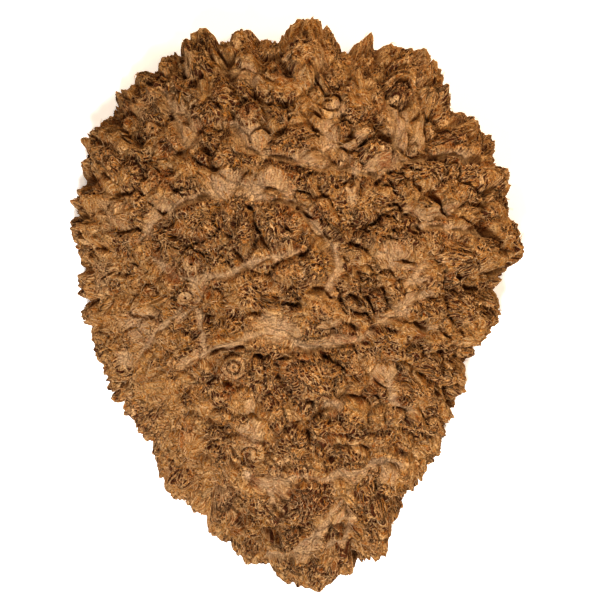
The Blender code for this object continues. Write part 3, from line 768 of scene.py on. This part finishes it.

        # Painted shade in the creases where two mounds meet, broken up by noise.
        hidden = fade(0.0, 0.55, second - first) * smooth_step(-0.3, 0.5, bumps(x, y, other, 10.0, 60.0))
        bare = clear * (1.0 - 0.9 * fans) * (1.0 - knots)
        shares = {
            # Painted shade in the pits.
            "pit": np.clip(pit * bare * (1.0 - 0.4 * beside), 0.0, 1.0),
            "open": open_share * bare,
            # Painted shade in the clefts, hollows, knot rings and grooves round mounds.
            "sunken": most(sunken, knot_groove, 0.5 * rim_groove * (1.0 - fans)),
            "stain": np.column_stack([cover(spots, places, ragged) for places in self.stains]),
            "shade": cover(spots, self.shaded, 0.0, 0.3, 1.0),
            "floor": most(floor, 0.7 * fans, 0.45 * knots * (1.0 - knot_groove)),
            # Partly pale threads, partly painted highlight on raised crests, spikes and pit walls.
            "tip": np.clip(0.4 * wall + 0.4 * crest + 0.6 * spike + 0.4 * thread, 0.0, 1.0),
            # Painted shade: creases between mounds and the shaded sides of mounds.
            "cleft": most(0.45 * clear * hidden * (1.0 - 0.8 * felt), cover(spots, self.brown, ragged)),
            "tone": 0.5 + 0.5 * self.mound_chance(owner, 7),
            "fibre": np.column_stack([fibre_across, fibre_along, 11.0 * owner]),
        }
        return lift, lean * np.cos(facing), lean * np.sin(facing), shares

    def downhill(self, way, step, radius):
        """How the dome runs out and drops at a way along its meridian, for a step of 1."""
        run = np.interp(way + step, self.way, self.reach) - np.interp(way - step, self.way, self.reach)
        drop = np.interp(way - step, self.way, self.height) - np.interp(way + step, self.way, self.height)
        slope = np.hypot(run * radius, drop)
        return run * radius / slope, drop / slope

    def surface(self, share, angle):
        """Where each point of the finished skin lies, for its share of the way down and its angle.

        Returns the points, where hidden seams under them meet the sawn back, and the colour shares.
        """
        way = share * self.saw_cut
        radius = at_angle(self.base, angle)
        reach, height = (np.interp(way, self.way, side) for side in (self.reach, self.height))
        run, drop = self.downhill(way, SLOPE_STEP, radius)
        cos, sin = np.cos(angle), np.sin(angle)
        lift, lean_x, lean_y, shares = self.skin(polar(self.laid_flat(way, angle), angle))
        inside = smooth_step(0.0, 0.02, 1.0 - share)
        lean_out, lean_round = turned(inside * lean_x, inside * lean_y, cos, sin)
        out = self.fitted(way / self.length, angle, reach * radius + lift * drop + lean_out * run)
        up = np.maximum(height + lift * run - lean_out * drop, RIM_HEIGHT * (1.0 - share))
        at_rim = share >= 1.0 - 1e-9
        up = np.where(at_rim, 0.0, up)
        x = CENTRE[0] + out * cos - lean_round * sin
        y = CENTRE[1] + out * sin + lean_round * cos

        # The seams stay inside the narrowest part of the rim near them.
        rim = np.flatnonzero(at_rim)
        rim = rim[np.argsort(np.mod(angle[rim], WHOLE_TURN))]
        steps = range(-SEAM_NEIGHBOURS, SEAM_NEIGHBOURS + 1)
        innermost = np.min([np.roll(out[rim], step) for step in steps], axis=0) - SEAM_INSET
        inner = np.interp(angle, angle[rim], innermost, period=WHOLE_TURN)
        climb = np.interp(way, self.way[:self.widest], self.reach[:self.widest])
        inner = inner * (0.98 * climb + 0.02 * share)
        seam = np.column_stack([CENTRE[0] + inner * cos, CENTRE[1] + inner * sin, 0.0 * x])
        return np.column_stack([x, y, up]) / 1000.0, seam / 1000.0, shares

    def fitted(self, share, angle, out):
        """The reach of each point, eased near the rim so that the widest points meet the outline."""
        sectors = OUTLINE_STEPS // 2
        sector = np.floor(np.mod(angle, WHOLE_TURN) / WHOLE_TURN * sectors).astype(int) % sectors
        widest = np.zeros(sectors)
        np.maximum.at(widest, sector, out)
        gain = self.outline[::2] / blurred(widest, FIT_BLUR)
        eased = smooth_step(0.35, 0.8, share)
        return out * (1.0 + (at_angle(gain, angle) - 1.0) * eased)


def disc_grid(cells_each_way):
    """A square grid pressed round into a disc of radius 1: each corner's share of it, and its angle."""
    steps = np.linspace(-1.0, 1.0, cells_each_way + 1)
    x, y = (side.ravel() for side in np.meshgrid(steps, steps))
    share = np.maximum(np.abs(x), np.abs(y))
    wide = np.abs(x) >= np.abs(y)
    safe_x, safe_y = np.where(x == 0.0, 1.0, x), np.where(y == 0.0, 1.0, y)
    lean = np.where(wide, y / safe_x, x / safe_y) * math.pi / 4.0
    angle = np.where(wide, np.where(x < 0.0, math.pi, 0.0) + lean, math.pi / 2.0 - lean)
    return share, np.where(~wide & (y < 0.0), angle + math.pi, angle)


def grid_place(share, angle):
    """Where a share of the disc and an angle lie on its square grid, from -1 to 1 each way."""
    quarter = np.round(angle / (0.5 * math.pi))
    tilt = (angle - quarter * 0.5 * math.pi) * 4.0 / math.pi * share
    quarter = np.mod(quarter, 4)
    sides = [quarter == 0, quarter == 1, quarter == 2]
    return np.select(sides, [share, -tilt, -share], tilt), np.select(sides, [tilt, share, -tilt], -share)


def sampled(grid, x, y):
    """A square grid of values read between its corners, at places from -1 to 1 each way."""
    cells = len(grid) - 1
    column, row = (np.clip((side + 1.0) * 0.5 * cells, 0.0, cells - 0.001) for side in (x, y))
    left, low = column.astype(int), row.astype(int)
    across, along = (column - left)[..., None], (row - low)[..., None]
    near = blend(grid[low, left], grid[low, left + 1], across)
    far = blend(grid[low + 1, left], grid[low + 1, left + 1], across)
    return blend(near, far, along)


def slice_mesh(name, places, seams, first_column, last_column):
    """One closed slice of the burl: its strip of skin, flat hidden sides and its part of the sawn back.

    Returns the mesh, how many of its faces and which of the grid's corners are skin, and how many
    corners it has.
    """
    rows = SKIN_CELLS + 1
    wide = last_column - first_column + 1
    grid = np.arange(rows * rows).reshape(rows, rows)[:, first_column:last_column + 1]
    local = np.arange(rows * wide).reshape(rows, wide)
    quads = np.stack([local[:-1, :-1], local[:-1, 1:], local[1:, 1:], local[1:, :-1]], axis=-1).reshape(-1, 4)
    points = [places[grid.ravel()]]
    count = rows * wide
    faces = [face.tolist() for face in quads]
    edges = []
    for column, at_rim, flip in ((0, first_column == 0, False), (wide - 1, last_column == SKIN_CELLS, True)):
        upper = local[:, column]
        if at_rim:
            edges.append(list(upper))
            continue
        points.append(seams[grid[1:-1, column]])
        bottom = np.concatenate([upper[:1], np.arange(count, count + rows - 2), upper[-1:]])
        count += rows - 2
        edges.append(list(bottom))
        wall = np.stack([upper[:-1], upper[1:], bottom[1:], bottom[:-1]], axis=-1)
        if flip:
            wall = wall[:, ::-1]
        faces += [list(dict.fromkeys(face)) for face in wall.tolist()]
    corners = np.concatenate(points)
    loop = edges[0][::-1] + list(local[0, 1:-1]) + edges[1] + list(local[-1, 1:-1])[::-1]
    loop = [int(index) for index in loop]
    back = tessellate_polygon([[Vector((corners[i][0], corners[i][1], 0.0)) for i in loop]])
    faces += [[loop[corner] for corner in reversed(triangle)] for triangle in back]
    data = bpy.data.meshes.new(name)
    data.from_pydata(corners.tolist(), [], faces)
    add_slice_map(data, quads, wide)
    return data, len(quads), grid.ravel(), count


def set_map(data, places):
    """The bake's map of a mesh, from a place for every corner of its faces."""
    layer = data.uv_layers.new(name=BAKE_MAP)
    layer.data.foreach_set("uv", places.astype(np.float32).ravel())


def add_slice_map(data, quads, wide):
    """The bake's map of a slice: its skin in two bands side by side, its back and walls above them."""
    half = SKIN_CELLS // 2
    corner_row, corner_column = quads // wide, quads % wide
    band = (corner_row[:, :1] >= half).astype(float)
    u = 0.5 * (band + 0.01 + 0.98 * corner_column / (wide - 1))
    v = 0.005 + 0.90 * (corner_row - band * half) / half
    skin = np.stack([u, v], axis=-1).reshape(-1, 2)
    starts = np.empty(len(data.loops), dtype=np.int32)
    data.loops.foreach_get("vertex_index", starts)
    points = np.empty(3 * len(data.vertices))
    data.vertices.foreach_get("co", points)
    hidden = points.reshape(-1, 3)[starts[len(skin):]]
    low, high = hidden.min(axis=0), hidden.max(axis=0)
    x, y, z = ((hidden - low) / (high - low)).T
    set_map(data, np.concatenate([skin, np.column_stack([0.005 + 0.99 * y, 0.92 + 0.05 * x + 0.02 * z])]))


def thread_paths(burl, places, rng):
    """Paths of loose threads: out of the valleys, outwards at the rim, and every way elsewhere."""
    angle = rng.uniform(0.0, WHOLE_TURN, THREADS)
    far = burl.laid_flat(np.sqrt(rng.uniform(0.0, 1.0, THREADS)) * burl.saw_cut * 0.97, angle)
    spots = polar(far, angle)
    right, left, above, below = (
        burl.valley_floor(spots + step)[2] for step in ((0.5, 0.0), (-0.5, 0.0), (0.0, 0.5), (0.0, -0.5))
    )
    from_valley = np.arctan2(above - below, right - left)
    near_valley = (burl.valley_floor(spots)[2] < 16.0) & (np.hypot(above - below, right - left) > 0.2)
    at_rim = far > burl.laid_flat(0.80 * burl.length, angle)
    spread = np.where(at_rim | near_valley, 0.35, 1.8)
    heading = np.where(near_valley & ~at_rim, from_valley, angle) + spread * rng.normal(0.0, 1.0, THREADS)
    curl = rng.normal(0.0, 0.30, THREADS)
    step = rng.uniform(1.1, 2.3, THREADS)
    rise = np.where(at_rim & (rng.uniform(0.0, 1.0, THREADS) < 0.4), rng.uniform(0.3, 1.0, THREADS), 0.0)
    path, normals = [], []
    for lying, standing in zip(THREAD_LYING, THREAD_STANDING):
        angle = np.arctan2(spots[:, 1], spots[:, 0])
        way = np.hypot(spots[:, 0], spots[:, 1]) * MEAN_RADIUS / at_angle(burl.base, angle)
        on_skin = sampled(places, *grid_place(np.minimum(way / burl.saw_cut, INSIDE_RIM), angle))
        run, drop = burl.downhill(way, THREAD_SLOPE_STEP, MEAN_RADIUS)
        normal = np.column_stack([polar(drop, angle), run])
        path.append(on_skin + normal * (lying + rise * standing)[:, None] / 1000.0)
        normals.append(normal)
        spots = spots + polar(step, heading)
        heading = heading + curl + 0.2 * rng.normal(0.0, 1.0, THREADS)
    path = np.stack(path, axis=1)
    path[..., 2] = np.maximum(path[..., 2], LOWEST_THREAD_POINT)
    eased = path.copy()
    eased[:, 1:-1] = 0.5 * path[:, 1:-1] + 0.25 * (path[:, :-2] + path[:, 2:])
    return eased, np.stack(normals, axis=1)


def across_both(one, other):
    """The unit vectors at right angles to two rows of vectors."""
    across = np.cross(one, other)
    return across / (np.linalg.norm(across, axis=2, keepdims=True) + 1e-12)


def make_threads(burl, places, material):
    """Loose fibres of wood lying over the skin, as thin tapered tubes in one piece."""
    rng = np.random.default_rng(SEED + 1)
    path, normals = thread_paths(burl, places.reshape(SKIN_CELLS + 1, SKIN_CELLS + 1, 3), rng)
    run = np.gradient(path, axis=1)
    side = across_both(run, normals)
    over = across_both(run, side)
    radius = rng.uniform(*THREAD_RADII, THREADS)[:, None] * (np.array(THREAD_TAPER) / 1000.0)
    rings = []
    for number in range(THREAD_SIDES):
        turn = WHOLE_TURN * number / THREAD_SIDES
        rings.append(path + radius[..., None] * (math.cos(turn) * side + math.sin(turn) * over))
    points = np.stack(rings, axis=2).reshape(-1, 3)
    ring_start = np.arange(THREADS * THREAD_POINTS).reshape(THREADS, THREAD_POINTS) * THREAD_SIDES
    groups = []
    places_in_cell = []
    for segment in range(THREAD_POINTS - 1):
        for number in range(THREAD_SIDES):
            after = (number + 1) % THREAD_SIDES
            low, high = ring_start[:, segment], ring_start[:, segment + 1]
            groups.append(np.stack([low + number, low + after, high + after, high + number], axis=-1))
            u, v = segment / 5.0, number / 4.0
            places_in_cell.append([(u, v), (u, v + 0.2), (u + 0.18, v + 0.2), (u + 0.18, v)])
    for ring, order, v in ((0, (2, 1, 0), 0.0), (THREAD_POINTS - 1, (0, 1, 2), 0.4)):
        groups.append(np.stack([ring_start[:, ring] + corner for corner in order], axis=-1))
        places_in_cell.append([(0.82, v), (0.95, v), (0.95, v + 0.2)])
    data = bpy.data.meshes.new("burl_threads")
    data.from_pydata(points.tolist(), [], [face for group in groups for face in group.tolist()])
    cell = np.column_stack([np.arange(THREADS) % MAP_CELLS, np.arange(THREADS) // MAP_CELLS])
    set_map(data, np.concatenate([
        (cell[:, None, :] + 0.05 + 0.9 * np.array(inside)[None]).reshape(-1, 2) / MAP_CELLS
        for inside in places_in_cell
    ]))
    chance = rng.uniform(0.0, 1.0, THREADS)
    add_values(data, "chance", np.repeat(chance, THREAD_POINTS * THREAD_SIDES))
    data.materials.append(material)
    piece = add_piece(data, len(data.polygons))


def add_values(data, name, values):
    """A named number or vector at each point of a mesh, for the materials to read."""
    kind, key = ("FLOAT_VECTOR", "vector") if values.ndim == 2 else ("FLOAT", "value")
    layer = data.attributes.new(name, kind, "POINT")
    layer.data.foreach_set(key, values.astype(np.float32).ravel())


def add_piece(data, skin_faces):
    """A mesh as a piece that rides on the burl; its first faces are shaded smooth."""
    data.polygons.foreach_set("use_smooth", np.arange(len(data.polygons)) < skin_faces)
    data.update()
    piece = bpy.data.objects.new(data.name, data)
    bpy.context.scene.collection.objects.link(piece)
    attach(piece, "root")
    return piece


def make_burl(skin_material, back_material, thread_material):
    """The whole burl, as closed slices side by side that share their edges exactly."""
    burl = Burl()
    places, seams, shares = burl.surface(*disc_grid(SKIN_CELLS))
    columns = np.linspace(0, SKIN_CELLS, SLICES + 1).round().astype(int)
    for number in range(SLICES):
        data, quads, used, count = slice_mesh(
            "burl_slice_%d" % (number + 1), places, seams, columns[number], columns[number + 1]
        )
        for key, values in shares.items():
            full = np.zeros((count,) + values.shape[1:])
            full[:len(used)] = values[used]
            add_values(data, key, full)
        data.materials.append(skin_material)
        data.materials.append(back_material)
        data.polygons.foreach_set("material_index", np.int32(np.arange(len(data.polygons)) >= quads))
        piece = add_piece(data, quads)
        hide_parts("burl")
    make_threads(burl, places, thread_material)


class Nodes:
    """A material's node tree, with short ways to add to it."""

    def __init__(self, name):
        self.material = bpy.data.materials.new(name)
        self.material.use_nodes = True
        self.tree = self.material.node_tree
        self.shader = self.tree.nodes["Principled BSDF"]

    def feed(self, node, inputs):
        """A node's inputs joined to sockets or set to constants."""
        for key, value in inputs.items():
            if isinstance(value, bpy.types.NodeSocket):
                self.tree.links.new(value, node.inputs[key])
            else:
                node.inputs[key].default_value = value

    def add(self, kind, inputs, **settings):
        """A new node with its settings made and its inputs fed."""
        node = self.tree.nodes.new(kind)
        for key, value in settings.items():
            setattr(node, key, value)
        self.feed(node, inputs)
        return node

    def value(self, name, output="Fac"):
        return self.add("ShaderNodeAttribute", {}, attribute_name=name).outputs[output]

    def math(self, operation, one, other=0.0, clamp=False):
        return self.add("ShaderNodeMath", {0: one, 1: other}, operation=operation, use_clamp=clamp).outputs[0]

    def times(self, one, other, clamp=False):
        return self.math("MULTIPLY", one, other, clamp)

    def mix(self, share, one, other):
        return self.add("ShaderNodeMix", {0: share, 6: one, 7: other}, data_type="RGBA").outputs[2]

    def layered(self, colour, layers):
        """A colour with other colours laid over it, each by its own share."""
        for share, over in layers:
            colour = self.mix(share, colour, over)
        return colour

    def span(self, value, low, high, new_low=0.0, new_high=1.0):
        """A value's share of a span, stretched to another span."""
        amounts = dict(enumerate((value, low, high, new_low, new_high)))
        return self.add("ShaderNodeMapRange", amounts).outputs[0]

    def noise(self, place, scale, detail=3.0, roughness=0.55):
        inputs = {"Vector": place, "Scale": scale, "Detail": detail, "Roughness": roughness}
        return self.add("ShaderNodeTexNoise", inputs).outputs[0]

    def stretched(self, place, scale):
        return self.add("ShaderNodeMapping", {"Vector": place, "Scale": scale}).outputs[0]

    def dots(self, place, scale, dimensions="3D"):
        """How far each place is from the nearest of many scattered dots."""
        return self.add(
            "ShaderNodeTexVoronoi", {"Vector": place, "Scale": scale}, feature="F1",
            voronoi_dimensions=dimensions,
        ).outputs["Distance"]

    def finished(self, colour, roughness, specular, height=None, strength=1.0, distance=0.0):
        """The material, with its shader fed and a bump from a height where there is one."""
        self.feed(self.shader, {"Base Color": colour, "Roughness": roughness, "Specular IOR Level": specular})
        if height is not None:
            bump = self.add("ShaderNodeBump", {"Strength": strength, "Distance": distance, "Height": height})
            self.feed(self.shader, {"Normal": bump.outputs[0]})
        return self.material


TAN = (0.55, 0.375, 0.230, 1.0)
MID = (0.35, 0.146, 0.019, 1.0)
THREAD = (0.51, 0.322, 0.160, 1.0)
# PIT is the near black of painted shade in pits, clefts, grooves, hollows and specks.
PIT = (0.055, 0.006, 0.0002, 1.0)
RED = (0.29, 0.074, 0.007, 1.0)
DEEP = (0.20, 0.045, 0.0010, 1.0)
GOLD = (0.46, 0.235, 0.062, 1.0)
PALE = (0.56, 0.385, 0.225, 1.0)
GREY = (0.35, 0.235, 0.145, 1.0)
FELT = (0.44, 0.245, 0.078, 1.0)
SAWN_DARK = (0.40, 0.16, 0.06, 1.0)
SAWN_LIGHT = (0.60, 0.30, 0.13, 1.0)
SAWN_RING = (0.25, 0.08, 0.025, 1.0)
SAWN_EYE = (0.09, 0.028, 0.01, 1.0)
SAWN_GRAIN = (0.70, 0.42, 0.22, 1.0)


def skin_wood():
    """Bare burl wood: tan fibres in the valleys, brown pitted mounds, red-brown and grey patches."""
    n = Nodes("burl_skin")
    place = n.add("ShaderNodeTexCoord", {}).outputs["Object"]
    fibre = n.value("fibre", "Vector")
    streak = n.noise(n.stretched(fibre, (0.55, 0.07, 1.0)), 1.0, 2.0, 0.6)
    hair = n.noise(n.stretched(fibre, (1.2, 0.15, 1.0)), 1.0, 1.0)
    fine = n.noise(place, 900.0, 2.0)
    patch = n.noise(place, 60.0, 2.0)
    floor, pit, tip, tone, porous, cleft, sunken, shade = (
        n.value(name) for name in ("floor", "pit", "tip", "tone", "open", "cleft", "sunken", "shade")
    )
    red, grey, gold = n.add("ShaderNodeSeparateXYZ", {0: n.value("stain", "Vector")}).outputs
    bare = n.span(floor, 0.2, 0.9, 0.85, 0.45)
    pierced = n.span(porous, 0.3, 0.7)
    # Slits and specks: small dark dots of painted shade for holes, also sunk a little by the bump.
    slits = n.dots(n.stretched(fibre, (0.43, 0.23, 1.0)), 1.0, "2D")
    slit = n.times(n.span(slits, 0.32, 0.24), pierced)
    speck = n.times(n.span(n.dots(place, 620.0), 0.38, 0.20), n.span(patch, 0.35, 0.6, 0.2, 0.9))
    speck = n.math("MAXIMUM", speck, slit)
    threads = n.math("ABSOLUTE", n.math("SUBTRACT", n.noise(place, 520.0, 1.0), 0.5))
    thread = n.math("MAXIMUM", n.span(threads, 0.06, 0.01, 0.0, 0.75), n.span(hair, 0.47, 0.39))
    body = n.layered(MID, (
        (n.span(patch, 0.45, 0.75, 0.0, 0.8), RED),
        (n.span(tone, 0.0, 1.0, 0.0, 0.4), DEEP),
        (n.times(gold, 0.7), GOLD),
        # Partly pale threads, partly painted highlight on raised crests, spikes and pit walls.
        (n.times(tip, 0.8, clamp=True), THREAD),
        (n.span(porous, 0.6, 0.1, 0.0, 0.5), FELT),
        (n.span(porous, 0.4, 0.9, 0.0, 0.35), GOLD),
        (n.times(n.span(floor, 0.15, 0.8, 0.0, 0.85), n.span(patch, 0.3, 0.6, 0.6, 1.0)), TAN),
        (n.times(grey, 0.5), GREY),
        (n.times(red, 0.6), RED),
        (n.times(n.span(streak, 0.53, 0.66, 0.0, 0.5), bare), DEEP),
        (n.span(streak, 0.47, 0.34, 0.0, 0.6), THREAD),
        # Painted shade in creases between mounds and on their shaded sides.
        (n.times(cleft, 0.75), DEEP),
        # Painted shade in sunken clefts, hollows and grooves.
        (n.span(sunken, 0.15, 0.8, 0.0, 0.9), PIT),
        # Painted shade in the pits.
        (n.span(pit, 0.18, 0.55, 0.0, 0.9), PIT),
        (n.times(n.span(hair, 0.52, 0.62, 0.0, 0.75), bare), DEEP),
        (n.times(thread, 0.8), THREAD),
        # Painted highlight round the slits.
        (n.times(n.span(slits, 0.50, 0.36, 0.0, 0.5), pierced), THREAD),
        # Painted shade in the specks and slits.
        (n.times(speck, n.span(floor, 0.3, 0.9, 0.9, 0.15)), PIT),
    ))
    dark, light = n.span(porous, 0.1, 0.7, 0.76, 0.54), n.span(porous, 0.1, 0.7, 1.18, 1.36)
    # The fine grain scales the colour, and painted shade darkens the shaded places by up to a fifth.
    grain = n.times(n.span(fine, 0.36, 0.64, dark, light), n.span(shade, 0.0, 1.0, 1.0, 0.80))
    colour = n.add("ShaderNodeVectorMath", {0: body, "Scale": grain}, operation="SCALE").outputs[0]
    height = n.math("ADD", n.times(streak, 0.8), n.times(fine, 0.5))
    height = n.math("ADD", height, n.math("SUBTRACT", n.times(thread, 0.6), speck))
    return n.finished(colour, n.span(streak, 0.3, 0.7, 0.62, 0.86), 0.02, height, 1.0, 0.0010)


def thread_wood():
    """Loose fibres: pale tan, some of them darker."""
    n = Nodes("burl_threads")
    place = n.add("ShaderNodeTexCoord", {}).outputs["Object"]
    body = n.layered(MID, (
        (n.span(n.value("chance"), 0.25, 0.9), PALE),
        (n.span(n.noise(place, 300.0, 1.0), 0.4, 0.65, 0.0, 0.5), MID),
    ))
    return n.finished(body, 0.75, 0.15)


def sawn_wood():
    """The sawn back: swirling burl figure with eyes, and the saw's straight marks."""
    n = Nodes("burl_sawn_back")
    place = n.add("ShaderNodeTexCoord", {}).outputs["Object"]
    rings = n.add(
        "ShaderNodeTexWave",
        {"Vector": place, "Scale": 26.0, "Distortion": 9.0, "Detail": 4.0, "Detail Scale": 1.4},
        wave_type="RINGS", rings_direction="Z",
    )
    saw = n.add(
        "ShaderNodeTexWave", {"Vector": place, "Scale": 150.0, "Distortion": 0.6},
        wave_type="BANDS", bands_direction="Y",
    )
    fine = n.noise(place, 700.0, 2.0)
    colour = n.layered(SAWN_DARK, (
        (n.span(n.noise(place, 28.0, 4.0, 0.6), 0.35, 0.68), SAWN_LIGHT),
        (n.times(rings.outputs["Fac"], 0.45), SAWN_RING),
    ))
    colour = n.mix(n.span(n.dots(place, 85.0), 0.08, 0.30), SAWN_EYE, colour)
    colour = n.mix(n.span(fine, 0.35, 0.7, 0.0, 0.25), colour, SAWN_GRAIN)
    height = n.math("ADD", n.times(saw.outputs["Fac"], 0.5), n.times(fine, 0.6))
    return n.finished(colour, 0.66, 0.3, height, 0.35, 0.0004)


def make_floor():
    """A plain pale floor, lit through a little from below so that shadows on it stay faint."""
    n = Nodes("floor")
    n.feed(n.shader, {"Emission Color": (1.0, 1.0, 1.0, 1.0), "Emission Strength": 0.45})
    bpy.ops.mesh.primitive_plane_add(size=8.0, location=(0.0, 0.0, -0.0003))
    floor = bpy.context.object
    floor.name = "floor"
    floor.data.materials.append(n.finished((0.93, 0.93, 0.93, 1.0), 0.9, 0.1))


def make_light(name, place, size, power, colour):
    """A square soft light that faces the burl."""
    data = bpy.data.lights.new(name, "AREA")
    data.shape = "SQUARE"
    data.size = size
    data.energy = power
    data.color = colour
    light = bpy.data.objects.new(name, data)
    light.location = place
    light.rotation_euler = (-Vector(place)).to_track_quat("-Z", "Y").to_euler()
    bpy.context.scene.collection.objects.link(light)


def make_camera():
    """A long lens straight above, with the photograph's framing."""
    data = bpy.data.cameras.new("camera")
    data.sensor_width = SENSOR
    width = PHOTO_SIDE * PHOTO_SCALE / 1000.0
    data.lens = SENSOR * (CAMERA_HEIGHT - FRAMED_HEIGHT) / width
    camera = bpy.data.objects.new("camera", data)
    camera.location = (PHOTO_MIDDLE[0] / 1000.0, PHOTO_MIDDLE[1] / 1000.0, CAMERA_HEIGHT)
    bpy.context.scene.collection.objects.link(camera)
    bpy.context.scene.camera = camera


def make_studio():
    """A dim warm room, a cool key from the lower left, and warm lights from the right and the top."""
    world = bpy.data.worlds.new("studio")
    world.use_nodes = True
    background = world.node_tree.nodes["Background"]
    background.inputs["Color"].default_value = (1.0, 0.60, 0.27, 1.0)
    background.inputs["Strength"].default_value = 0.26
    bpy.context.scene.world = world
    make_light("key", (-0.28, -0.98, 1.48), 0.40, 51.0, (0.96, 0.98, 1.0))
    make_light("fill", (1.5, 0.9, 1.3), 0.9, 30.0, (1.0, 0.86, 0.62))
    make_light("rim", (0.1, 1.7, 1.0), 0.9, 27.0, (1.0, 0.86, 0.66))
    view = bpy.context.scene.view_settings
    view.view_transform = "Standard"
    view.gamma = 0.84


make_floor()
make_burl(skin_wood(), sawn_wood(), thread_wood())
make_studio()
make_camera()
